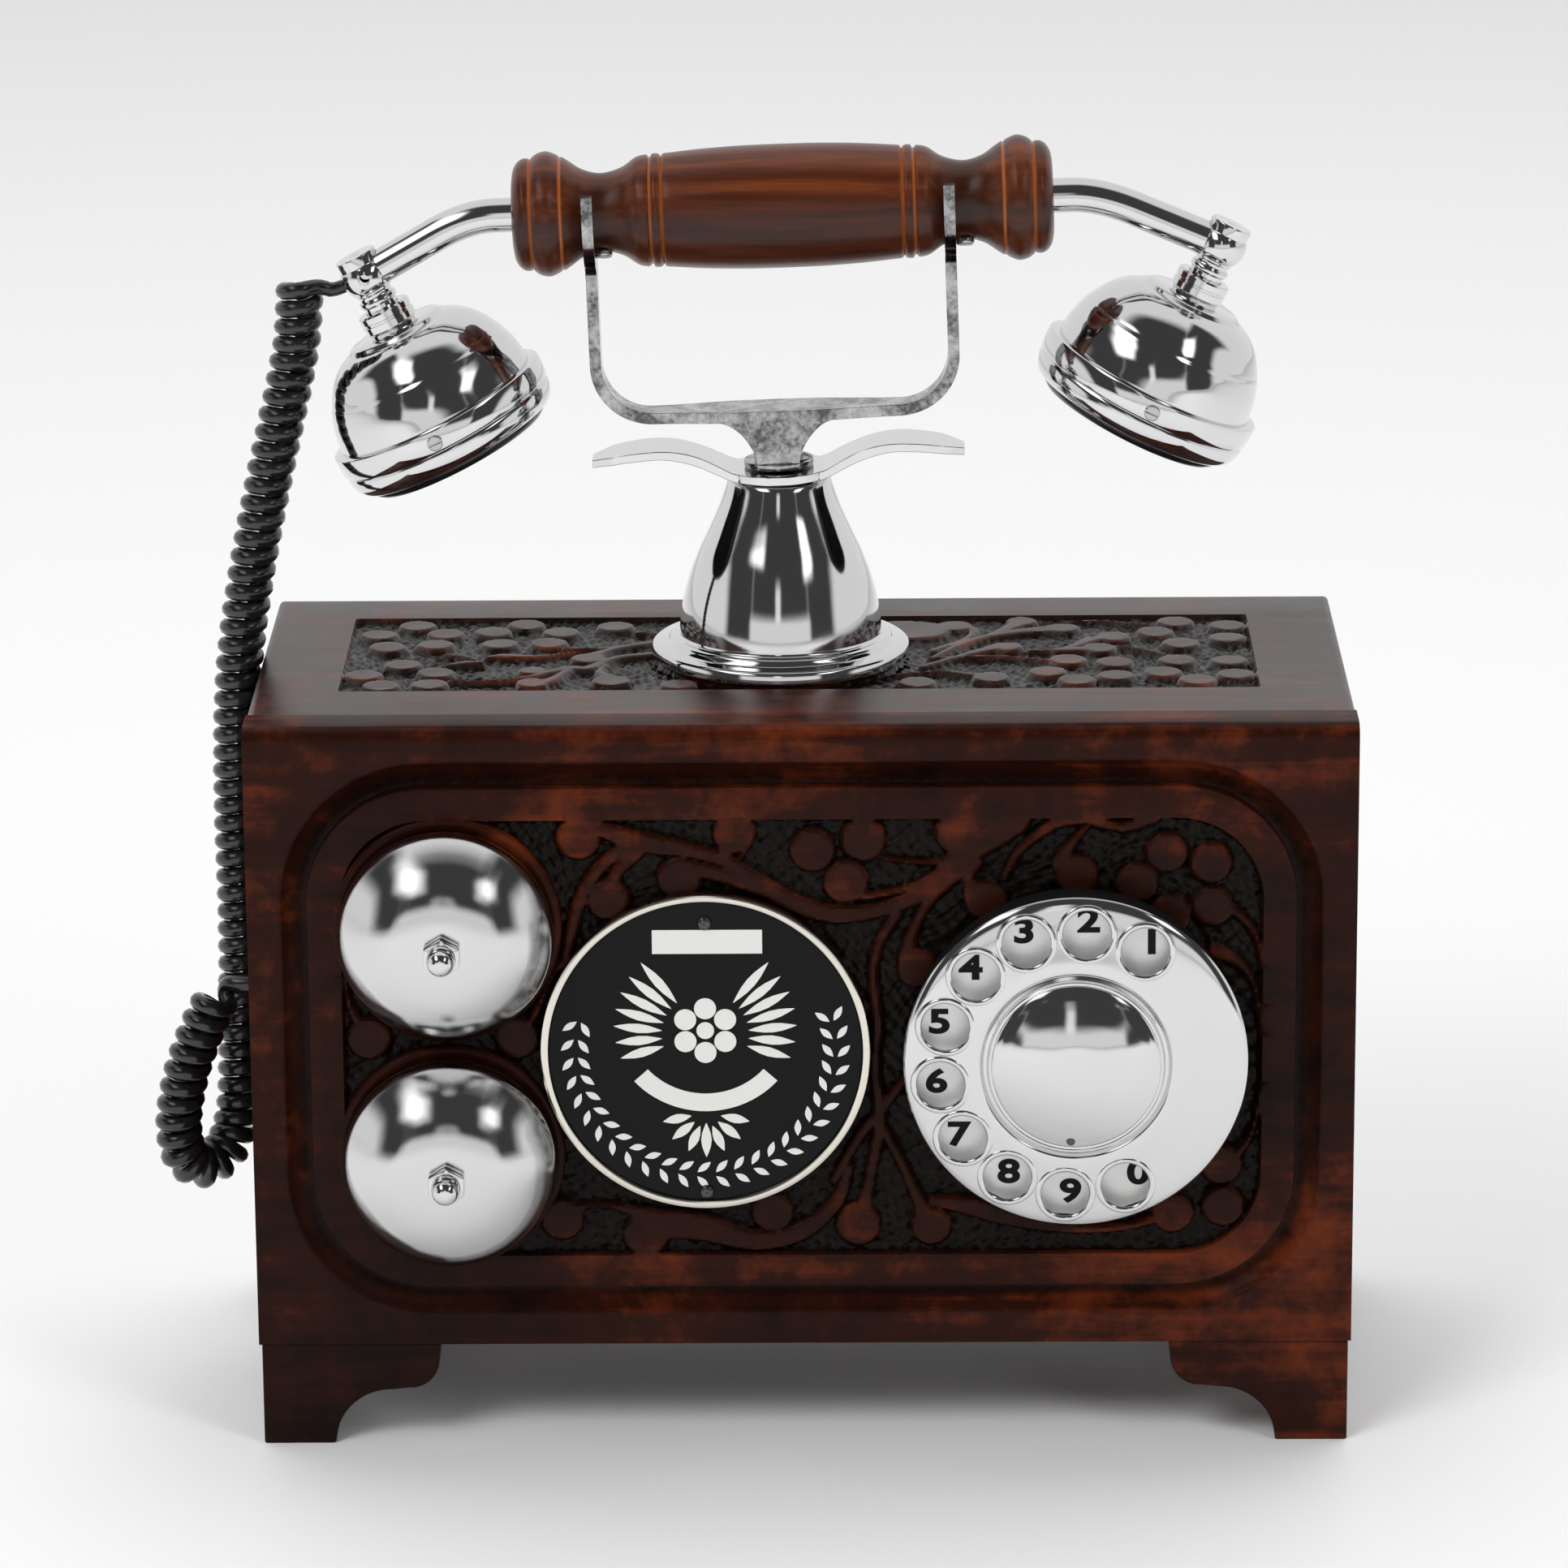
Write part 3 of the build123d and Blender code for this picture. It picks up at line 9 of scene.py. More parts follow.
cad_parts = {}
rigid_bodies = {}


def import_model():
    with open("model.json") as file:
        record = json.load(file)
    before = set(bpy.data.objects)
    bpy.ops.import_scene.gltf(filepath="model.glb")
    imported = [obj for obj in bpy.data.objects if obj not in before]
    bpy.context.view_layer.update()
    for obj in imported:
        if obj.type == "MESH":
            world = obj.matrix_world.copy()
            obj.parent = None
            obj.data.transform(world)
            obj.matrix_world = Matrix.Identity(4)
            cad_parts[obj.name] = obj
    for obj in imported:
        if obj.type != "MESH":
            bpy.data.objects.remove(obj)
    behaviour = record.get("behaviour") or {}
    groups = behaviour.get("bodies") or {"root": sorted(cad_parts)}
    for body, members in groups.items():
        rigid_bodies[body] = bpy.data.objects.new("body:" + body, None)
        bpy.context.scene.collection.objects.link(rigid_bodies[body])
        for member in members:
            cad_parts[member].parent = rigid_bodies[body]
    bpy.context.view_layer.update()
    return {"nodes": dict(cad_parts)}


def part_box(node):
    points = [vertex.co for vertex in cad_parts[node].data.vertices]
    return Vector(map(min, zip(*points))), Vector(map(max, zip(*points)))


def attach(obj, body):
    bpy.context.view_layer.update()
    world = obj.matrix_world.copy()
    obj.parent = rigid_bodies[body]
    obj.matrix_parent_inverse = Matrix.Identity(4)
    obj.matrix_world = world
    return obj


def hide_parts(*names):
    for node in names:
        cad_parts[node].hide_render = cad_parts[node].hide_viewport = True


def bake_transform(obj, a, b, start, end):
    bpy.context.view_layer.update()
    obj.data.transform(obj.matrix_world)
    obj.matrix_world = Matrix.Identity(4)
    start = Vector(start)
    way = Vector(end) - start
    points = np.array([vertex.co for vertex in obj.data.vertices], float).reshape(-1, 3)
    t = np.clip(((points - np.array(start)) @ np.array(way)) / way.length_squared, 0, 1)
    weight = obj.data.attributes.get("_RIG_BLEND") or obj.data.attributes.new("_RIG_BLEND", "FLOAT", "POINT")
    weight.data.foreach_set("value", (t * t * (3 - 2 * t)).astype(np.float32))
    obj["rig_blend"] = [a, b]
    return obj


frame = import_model()
print("frame loaded:", len(frame["nodes"]), "nodes")

mm = 0.001
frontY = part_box("front_panel")[0].y  # the box's front face; depths t are measured back from it
fromMm = Matrix.Translation((0, frontY, 0)) @ Matrix.Scale(mm, 4)


def middle(node):
    # a node's middle in millimetres, with the depth from the front face
    low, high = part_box(node)
    return fromMm.inverted() @ ((low + high) / 2)


def topOf(node):
    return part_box(node)[1].z / mm


view = {"at": (0.01354, -1.61363, 0.61629), "pitch": 73.7, "turn": 0.63, "roll": -0.45, "lens": 167.6,
        "film": 36.0}


def makeCamera():
    data = bpy.data.cameras.new("camera")
    data.sensor_width = view["film"]
    data.lens = view["lens"]
    data.clip_end = 20
    camera = bpy.data.objects.new("camera", data)
    bpy.context.collection.objects.link(camera)
    aim = Euler((radians(view["pitch"]), 0, radians(view["turn"]))).to_matrix().to_4x4()
    camera.matrix_world = Matrix.Translation(view["at"]) @ aim @ Matrix.Rotation(radians(view["roll"]), 4,
                                                                                 "Z")
    bpy.context.scene.camera = camera


makeCamera()
print("camera placed")


class Value:
    # one output of a material's nodes, so that a pattern reads as an expression
    def __init__(self, finish, socket):
        self.finish = finish
        self.socket = socket

    def maths(self, operation, *others, swap=False):
        parts = [self, *others]
        if swap:
            parts.reverse()
        return self.finish.node("ShaderNodeMath", {"operation": operation}, dict(enumerate(parts)))

    def __add__(self, other):
        return self.maths("ADD", other)

    __radd__ = __add__

    def __sub__(self, other):
        return self.maths("SUBTRACT", other)

    def __rsub__(self, other):
        return self.maths("SUBTRACT", other, swap=True)

    def __mul__(self, other):
        return self.maths("MULTIPLY", other)

    __rmul__ = __mul__

    def atLeast(self, other):
        return self.maths("MAXIMUM", other)

    def atMost(self, other):
        return self.maths("MINIMUM", other)

    def absolute(self):
        return self.maths("ABSOLUTE")

    def step(self, low, high):
        # 0 below low, 1 above high, smooth between
        settings = {"interpolation_type": "SMOOTHSTEP"}
        return self.finish.node("ShaderNodeMapRange", settings,
                                {"Value": self, "From Min": low, "From Max": high})


class Nodes:
    # a node tree, and the single method that makes its nodes
    def __init__(self, tree):
        self.tree = tree

    def node(self, kind, settings=None, inputs=None, output=0):
        made = self.tree.nodes.new(kind)
        for key, setting in (settings or {}).items():
            if key == "stops":
                self.setStops(made.color_ramp, setting)
            else:
                setattr(made, key, setting)
        for key, item in (inputs or {}).items():
            self.feed(made.inputs[key], item)
        return Value(self, made.outputs[output])

    def setStops(self, ramp, stops):
        while len(ramp.elements) < len(stops):
            ramp.elements.new(1.0)
        for element, (place, colour) in zip(ramp.elements, stops):
            element.position = place
            element.color = (*colour, 1)

    def feed(self, socket, item):
        if isinstance(item, Value):
            self.tree.links.new(item.socket, socket)
        elif isinstance(item, tuple) and socket.type == "RGBA":
            socket.default_value = (*item, 1)
        else:
            socket.default_value = item

    def where(self, stretch=(1, 1, 1)):
        # object coordinates, stretched along the axes
        place = self.node("ShaderNodeTexCoord", output="Object")
        return self.node("ShaderNodeMapping", None, {"Vector": place, "Scale": stretch})

    def noise(self, place, scale, detail=4.0, roughness=0.5, distortion=0.0):
        return self.node("ShaderNodeTexNoise", None, {"Vector": place, "Scale": scale, "Detail": detail,
                                                      "Roughness": roughness, "Distortion": distortion})

    def axes(self, place):
        # the three parts of a place
        split = self.node("ShaderNodeSeparateXYZ", None, {"Vector": place})
        return [Value(self, output) for output in split.socket.node.outputs]

    def attribute(self, name):
        return self.node("ShaderNodeAttribute", {"attribute_name": name}, output="Fac")

    def ramp(self, value, stops):
        return self.node("ShaderNodeValToRGB", {"stops": stops}, {"Fac": value})

    def mix(self, share, first, second):
        made = self.node("ShaderNodeMix", {"data_type": "RGBA"}, {"Factor": share}, output=2)
        mixer = made.socket.node
        self.feed(mixer.inputs[6], first)
        self.feed(mixer.inputs[7], second)
        return made

    def bump(self, height, strength, distance):
        return self.node("ShaderNodeBump", None,
                         {"Height": height, "Strength": strength, "Distance": distance})


class Finish(Nodes):
    # one material of the object
    def __init__(self, name):
        self.material = bpy.data.materials.new(name)
        self.material.use_nodes = True
        super().__init__(self.material.node_tree)
        self.shader = self.tree.nodes["Principled BSDF"]

    def use(self, **parts):
        # feeds the shader's sockets by short names
        names = {"base": "Base Color", "roughness": "Roughness", "metallic": "Metallic", "normal": "Normal",
                 "coat": "Coat Weight", "coatRoughness": "Coat Roughness", "specular": "Specular IOR Level"}
        for key, item in parts.items():
            self.feed(self.shader.inputs[names[key]], item)
        return self.material


def woodGrain(finish, along, scale, contrast=0.07):
    # long fibres along one axis, and slow bands of the same run
    stretch = [1.0, 1.0, 1.0]
    stretch[along] = contrast
    place = finish.where(tuple(stretch))
    fibre = finish.noise(place, scale * 9, 5, 0.6, 0.4)
    bands = finish.noise(place, scale * 1.6, 3, 0.5, 0.8)
    return fibre, bands


def stainedWood(name, along=0, gloss=0.10):
    # dark red-brown stain, rubbed warmer on faces and lying black in the carved hollows; the hollow layer also
    # carries painted shade in the front board's cove
    deep, mid, warm = (0.0066, 0.0024, 0.0016), (0.024, 0.0049, 0.0021), (0.145, 0.0255, 0.0060)
    finish = Finish(name)
    fibre, bands = woodGrain(finish, along, 22)
    patches = finish.noise(finish.where(), 13, 5, 0.66, 0.6)
    rubbed = finish.noise(finish.where(), 85, 4, 0.7, 0.3)
    tone = bands * 0.16 + fibre * 0.28 + patches * 0.50 + rubbed * 0.31
    base = finish.ramp(tone, [(0.50, deep), (0.64, mid), (0.80, warm)])
    hollow = finish.attribute("hollow")
    stipple = finish.noise(finish.where(), 620, 3, 0.55)
    black = finish.ramp(stipple, [(0.40, (0.0016, 0.0012, 0.0010)), (0.80, (0.013, 0.0075, 0.0050))])
    # the black mix follows the hollow layer: the carved ground, plus painted shade in the cove
    base = finish.mix(hollow.step(0.15, 0.85), base, black)
    rough = 0.26 + rubbed * 0.16 - hollow * 0.04
    relief = finish.bump(fibre * (0.5 - hollow * 0.5) + rubbed * 0.35 + stipple * hollow * 1.6, 0.22, 0.0006)
    return finish.use(base=base, roughness=rough, normal=relief, specular=gloss)


def polishedWood(name):
    # lighter orange-brown handle with dark streaks along it and orange in its grooves
    finish = Finish(name)
    fibre, bands = woodGrain(finish, 0, 30, 0.05)
    streak = finish.noise(finish.where((0.07, 1, 1)), 150, 5, 0.7, 1.2)
    tone = bands * 0.40 + fibre * 0.32 + streak * 0.28
    base = finish.ramp(tone, [(0.36, (0.014, 0.0040, 0.0024)), (0.52, (0.072, 0.0155, 0.0050)),
                              (0.72, (0.250, 0.062, 0.0140))])
    base = finish.mix(finish.attribute("groove").step(0.05, 0.9), base, (0.36, 0.095, 0.018))
    base = finish.mix(finish.attribute("shade") * 0.85, base, (0.0085, 0.0032, 0.0022))
    relief = finish.bump(fibre * 0.6 + streak * 0.4, 0.12, 0.0005)
    return finish.use(base=base, roughness=0.22 + fibre * 0.16, normal=relief, specular=0.35)


def plated(name, colour=(0.70, 0.70, 0.71), roughness=0.05, brushed=0.0, marks=0.05):
    # bright plating with faint polishing smears; brushed adds fine wear
    finish = Finish(name)
    smear = finish.noise(finish.where(), 48, 5, 0.62, 0.4)
    lines = finish.noise(finish.where((1, 1, 12)), 700, 4, 0.7)
    rough = roughness + (smear - 0.35).atLeast(0) * marks * 2 + lines * brushed
    relief = finish.bump(smear * 0.6 + lines * 0.08, 0.03, 0.0006)
    return finish.use(base=colour, metallic=1.0, roughness=rough, normal=relief)


def wornPlating(name):
    # plating rubbed dull in patches, with dark specks
    finish = Finish(name)
    patch = finish.noise(finish.where(), 130, 5, 0.66, 0.5)
    speck = finish.noise(finish.where(), 900, 3, 0.6)
    base = finish.ramp(patch * 0.7 + speck * 0.3, [(0.42, (0.10, 0.10, 0.102)), (0.53, (0.34, 0.34, 0.345)),
                                                   (0.70, (0.62, 0.62, 0.625))])
    return finish.use(base=base, metallic=1.0, roughness=0.07 + patch * 0.14,
                      normal=finish.bump(patch, 0.12, 0.0006))


def turnedMetal(name, colour=(0.67, 0.67, 0.675), roughness=0.025):
    # plating over turning marks: rings round the front axis of a bell
    finish = Finish(name)
    rings = finish.attribute("reach")
    band = finish.noise(finish.node("ShaderNodeCombineXYZ", None, {"X": rings * 90}), 6, 5, 0.75)
    smear = finish.noise(finish.where(), 60, 4, 0.6, 0.3)
    relief = finish.bump(band, 0.06, 0.0003)
    return finish.use(base=colour, metallic=1.0, roughness=roughness + band * 0.07 + smear * 0.04,
                      normal=relief)


def mouldedPlastic(name, colour, roughness, marks=0.08, coat=0.0):
    # smooth black moulding with a fine uneven sheen
    finish = Finish(name)
    grain = finish.noise(finish.where(), 260, 4, 0.6)
    relief = finish.bump(grain, 0.05, 0.0004)
    return finish.use(base=colour, roughness=roughness + grain * marks, normal=relief, coat=coat,
                      coatRoughness=0.1)


def cordJacket(name):
    # glossy black jacket, a little dusty between the turns
    finish = Finish(name)
    dust = finish.noise(finish.where(), 180, 5, 0.7)
    base = finish.ramp(dust, [(0.4, (0.0055, 0.0055, 0.006)), (0.85, (0.022, 0.021, 0.021))])
    relief = finish.bump(dust, 0.05, 0.0004)
    return finish.use(base=base, roughness=0.16 + dust * 0.16, normal=relief, coat=0.4, coatRoughness=0.08)


def satinPlate(name, colour):
    # a pale satin plate, faintly mottled
    finish = Finish(name)
    cloud = finish.noise(finish.where(), 75, 4, 0.6)
    base = finish.ramp(cloud, [(0.2, tuple(c * 0.86 for c in colour)), (0.8, colour)])
    return finish.use(base=base, metallic=0.5, roughness=0.34 + cloud * 0.12)


def enamel(name, colour, roughness=0.33):
    finish = Finish(name)
    grain = finish.noise(finish.where(), 420, 4, 0.65)
    relief = finish.bump(grain, 0.05, 0.0003)
    return finish.use(base=colour, roughness=roughness + grain * 0.1, normal=relief, specular=0.12)


def windings(name):
    # varnished copper wire laid side by side, with painted shade in the gaps between the turns
    finish = Finish(name)
    across = finish.axes(finish.where())[1]
    turns = (across * 9000).maths("SINE")
    # the dark end of these colour bands is painted shade between neighbouring turns
    base = finish.ramp(turns * 0.5 + 0.5, [(0.1, (0.09, 0.022, 0.008)), (0.9, (0.42, 0.14, 0.05))])
    return finish.use(base=base, roughness=0.34, normal=finish.bump(turns, 0.4, 0.0004))


finishes = {
    "boxWood": stainedWood("boxWood"),
    "topWood": stainedWood("topWood", gloss=0.42),
    "uprightWood": stainedWood("uprightWood", along=1),
    "handleWood": polishedWood("handleWood"),
    "chrome": plated("chrome"),
    "wornPlate": wornPlating("wornPlate"),
    "bellMetal": turnedMetal("bellMetal"),
    "nickel": plated("nickel", (0.76, 0.72, 0.64), 0.10, 0.06),
    "steel": plated("steel", (0.55, 0.55, 0.56), 0.22, 0.12),
    "darkSteel": plated("darkSteel", (0.10, 0.10, 0.105), 0.25, 0.15),
    "zinc": plated("zinc", (0.46, 0.46, 0.44), 0.33, 0.14),
    "brass": plated("brass", (0.70, 0.50, 0.20), 0.18, 0.08),
    "black": mouldedPlastic("blackMoulding", (0.010, 0.010, 0.011), 0.20),
    "rubber": mouldedPlastic("blackRubber", (0.014, 0.014, 0.014), 0.55),
    "jacket": cordJacket("cordJacket"),
    "digitPlate": satinPlate("digitPlate", (0.92, 0.92, 0.91)),
    "digitInk": enamel("digitInk", (0.006, 0.006, 0.006)),
    "badgeEnamel": enamel("badgeEnamel", (0.0065, 0.0068, 0.0075), 0.30),
    "badgeSilver": enamel("badgeSilver", (0.78, 0.77, 0.74), 0.34),
    "windings": windings("windings"),
}
print("finishes mixed:", len(finishes))


def keep(bm, name, finish, place=fromMm, body="base", nodes=(), sharpAt=35):
    # writes a bmesh drawn in millimetres as a finished piece at its place
    bmesh.ops.transform(bm, matrix=place, verts=bm.verts)
    mesh = bpy.data.meshes.new(name)
    bm.to_mesh(mesh)
    bm.free()
    mesh.polygons.foreach_set("use_smooth", [True] * len(mesh.polygons))
    mesh.set_sharp_from_angle(angle=radians(sharpAt))
    mesh.materials.append(finishes[finish])
    piece = bpy.data.objects.new(name, mesh)
    bpy.context.collection.objects.link(piece)
    if body:
        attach(piece, body)
    if nodes:
        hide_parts(*nodes)
    return piece


def smoothLine(knots, perSpan=6):
    # a smooth line through a few (radius, height) knots
    points = [Vector(k) for k in knots]
    ends = [2 * points[0] - points[1], *points, 2 * points[-1] - points[-2]]
    line = []
    for before, start, stop, after in zip(ends, ends[1:], ends[2:], ends[3:]):
        for i in range(perSpan):
            s = i / perSpan
            line.append(0.5 * (2 * start + (stop - before) * s
                               + (2 * before - 5 * start + 4 * stop - after) * s ** 2
                               + (3 * start - before - 3 * stop + after) * s ** 3))
    line.append(points[-1])
    return [tuple(p) for p in line]


def spin(bm, outline, steps=128):
    # turns an outline of (radius, height) once round Z
    verts = [bm.verts.new((r, 0, h)) for r, h in outline]
    edges = [bm.edges.new(pair) for pair in zip(verts, verts[1:])]
    bmesh.ops.spin(bm, geom=verts + edges, axis=(0, 0, 1), cent=(0, 0, 0), angle=2 * pi, steps=steps,
                   use_merge=True)
    bmesh.ops.remove_doubles(bm, verts=bm.verts, dist=0.001)


def softenEdges(bm, width, sharpest=28, segments=2):
    # a small bevel on every edge that is sharper than the angle given
    edges = [e for e in bm.edges if len(e.link_faces) == 2 and e.calc_face_angle(0) > radians(sharpest)]
    bmesh.ops.bevel(bm, geom=edges, offset=width, offset_type="OFFSET", affect="EDGES", segments=segments,
                    profile=0.5, material=-1, clamp_overlap=True)


def turnedBmesh(outline, steps=128, soften=0.0):
    bm = bmesh.new()
    spin(bm, outline, steps)
    bmesh.ops.recalc_face_normals(bm, faces=bm.faces)
    if soften:
        softenEdges(bm, soften)
    return bm


def turned(name, finish, outline, place, steps=128, **rest):
    # keeps an outline turned once round as a piece
    return keep(turnedBmesh(outline, steps), name, finish, place, **rest)


def mergeInto(bm, other):
    # adds a bmesh to another one and frees it
    mesh = bpy.data.meshes.new("merged")
    other.to_mesh(mesh)
    other.free()
    bm.from_mesh(mesh)
    bpy.data.meshes.remove(mesh)


def drill(piece, holes, place, finish, radius, depth, segments):
    # cuts round holes through a piece, each at a place in the piece's own millimetres
    drills = bmesh.new()
    for hole in holes:
        made = bmesh.ops.create_cone(drills, cap_ends=True, segments=segments, radius1=radius, radius2=radius,
                                     depth=depth)["verts"]
        bmesh.ops.translate(drills, verts=made, vec=hole)
    cutter = keep(drills, "holeCutter", finish, place, body=None)
    cut = piece.modifiers.new("holes", "BOOLEAN")
    cut.object = cutter
    cut.solver = "EXACT"
    applyModifiers(piece)
    bpy.data.objects.remove(cutter)


def applyModifiers(piece):
    # bakes a piece's modifiers into its mesh
    graph = bpy.context.evaluated_depsgraph_get()
    mesh = bpy.data.meshes.new_from_object(piece.evaluated_get(graph))
    piece.modifiers.clear()
    old = piece.data
    piece.data = mesh
    bpy.data.meshes.remove(old)


def frontAxis(centre):
    # +Z of a turned piece towards the front, its origin on the front face
    return spotPlace(centre.x, 0, centre.z) @ Matrix.Rotation(radians(90), 4, "X")


def spotPlace(x, t, z):
    return fromMm @ Matrix.Translation((x, t, z))


curl = {
    "route": [
        (-114.2, 64.0, 259.0), (-114.6, 64.3, 248.0), (-117.0, 64.6, 236.0), (-123.0, 65.0, 211.0),
        (-127.8, 65.4, 188.0), (-131.4, 65.8, 165.0), (-132.4, 66.2, 135.0), (-132.0, 66.4, 105.0),
        (-132.8, 66.0, 78.0), (-133.4, 65.0, 60.0), (-136.0, 61.5, 51.0), (-141.5, 56.0, 47.5),
        (-146.2, 51.5, 52.0), (-147.0, 49.4, 62.0), (-144.6, 48.4, 74.0), (-140.6, 48.0, 85.0),
        (-136.4, 48.0, 93.0),
    ],
    "wire": 4.0, "mean": 3.65, "pitch": 4.3, "perTurn": 18, "sides": 10, "leadStep": 0.8, "evenStep": 1.2,
    "leadThin": 0.78, "holeAt": 4.0, "outsideAt": 7.8, "leadIn": (1.6, -0.6, -1.2), "tailOut": (0.6, 0, 2.2),
    "tailX": -132.5, "passes": 10, "reach": 3,
}


def readLine(points):
    # the points of a smooth NURBS line through the cord's route
    data = bpy.data.curves.new("routeLine", "CURVE")
    data.dimensions = "3D"
    spline = data.splines.new("NURBS")
    spline.points.add(len(points) - 1)
    for point, place in zip(spline.points, points):
        point.co = (*place, 1)
    spline.order_u = 3
    spline.use_endpoint_u = True
    spline.resolution_u = 24
    holder = bpy.data.objects.new("routeLine", data)
    mesh = bpy.data.meshes.new_from_object(holder)
    line = [v.co.copy() for v in mesh.vertices]
    bpy.data.objects.remove(holder)
    bpy.data.curves.remove(data)
    bpy.data.meshes.remove(mesh)
    return line


def evenSteps(line, step):
    # points a step apart along a line
    steps = [line[0]]
    left = step
    for start, stop in zip(line, line[1:]):
        run = (stop - start).length
        while left <= run:
            steps.append(start.lerp(stop, left / run))
            left += step
        left -= run
    return steps


def carriedFrames(line):
    # two cross directions at each point, carried along without twist
    frames = []
    across = Vector((1, 0, 0))
    for i, point in enumerate(line):
        ahead = (line[min(i + 1, len(line) - 1)] - line[max(i - 1, 0)]).normalized()
        across = (across - ahead * across.dot(ahead)).normalized()
        frames.append((across, ahead.cross(across)))
    return frames


def tubeAlong(bm, path, radii, sides):
    # rings round each path point, bridged face to face and capped
    rings = []
    for (across, up), centre, radius in zip(carriedFrames(path), path, radii):
        ring = [bm.verts.new(centre + (across * cos(a) + up * sin(a)) * radius)
                for a in [2 * pi * k / sides for k in range(sides)]]
        rings.append(ring)
    for near, far in zip(rings, rings[1:]):
        for k in range(sides):
            bm.faces.new((near[k], near[(k + 1) % sides], far[(k + 1) % sides], far[k]))
    for ring in (rings[0], rings[-1]):
        bm.faces.new(ring)
    bmesh.ops.recalc_face_normals(bm, faces=bm.faces)


# The handset's ends by side: -1 the transmitter, 1 the receiver; the cups hang off flat discs on the elbows.
handset = {"lean": -1.75, "discX": {-1: -98.2, 1: 102.2}, "discDrop": -7.9, "tilt": {-1: 25.0, 1: 28.5},
           "bore": 5.4, "cups": {-1: "transmitter_cup", 1: "receiver_cup"},
           "tubes": {-1: "tube_left", 1: "tube_right"}, "tube": 4.0, "tubeFrom": (54.0, 60.0), "knee": 72.0}
handsetPlace = Matrix.Translation(middle("handle")) @ Matrix.Rotation(radians(handset["lean"]), 4, "Y")


def cupPlace(side):
    # a cup's own frame: origin on the elbow's flat top, +Z towards the mouth
    return (handsetPlace @ Matrix.Translation((handset["discX"][side], 0, handset["discDrop"]))
            @ Matrix.Rotation(radians(180 + side * handset["tilt"][side]), 4, "Y"))


def easedJoins(path, joins):
    # rounds the places where the straight leads run into the winding, then spaces the points evenly
    reach = curl["reach"]
    for _ in range(curl["passes"]):
        for join in joins:
            for i in range(max(1, join - reach), min(len(path) - 1, join + reach + 1)):
                path[i] = path[i] * 0.5 + (path[i - 1] + path[i + 1]) * 0.25
    return evenSteps(path, curl["evenStep"])


def makeCord():
    c = curl
    centres = evenSteps(readLine([Vector(p) for p in c["route"]]), c["pitch"] / c["perTurn"])
    winding = []
    for i, (centre, (across, up)) in enumerate(zip(centres, carriedFrames(centres))):
        a = 2 * pi * i / c["perTurn"]
        winding.append(centre + (across * cos(a) + up * sin(a)) * c["mean"])
    hole, outside = (cupPlace(-1) @ Vector((x, 0, handset["bore"])) for x in (c["holeAt"], c["outsideAt"]))
    first, last = winding[0], winding[-1]
    lead = evenSteps(readLine([hole, outside, first + Vector(c["leadIn"]), first]), c["leadStep"])
    grommet = middle("cord_grommet")
    inside = Vector((grommet.x + 4, grommet.y, grommet.z))
    tail = evenSteps(readLine([last, last + Vector(c["tailOut"]), Vector((c["tailX"], grommet.y, grommet.z)),
                               inside]), c["leadStep"])
    path = easedJoins(lead[:-1] + winding + tail[1:], (len(lead) - 1, len(lead) + len(winding) - 2))
    thin = c["leadThin"]
    radii = [c["wire"] / 2 * (thin + (1 - thin) * min(1, i / len(lead))) for i in range(len(path))]
    bm = bmesh.new()
    tubeAlong(bm, path, radii, c["sides"])
    cord = keep(bm, "handsetCurlyCord", "jacket", body=None, sharpAt=60,
                nodes=("handset_cord", "cord_top_lead", "cord_bottom_lead"))
    metres = [fromMm @ p for p in path]
    length = sum((b - a).length for a, b in zip(metres, metres[1:]))
    print("cord wire length", round(length, 3), "m in", round(len(winding) / c["perTurn"], 1), "turns")
    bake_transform(cord, "base", "handset", start=(0, 0, 0.085), end=(0, 0, 0.252))


makeCord()
print("cord wound")

# Each carving is a list of round buds (across, up, radius) and of stems through (across, up, half width).
carving = {"edge": 1.15, "outside": 0.35, "rim": 0.8, "punch": 3.4, "punchDeep": 0.52, "uneven": 0.10,
           "fadeIn": 3}

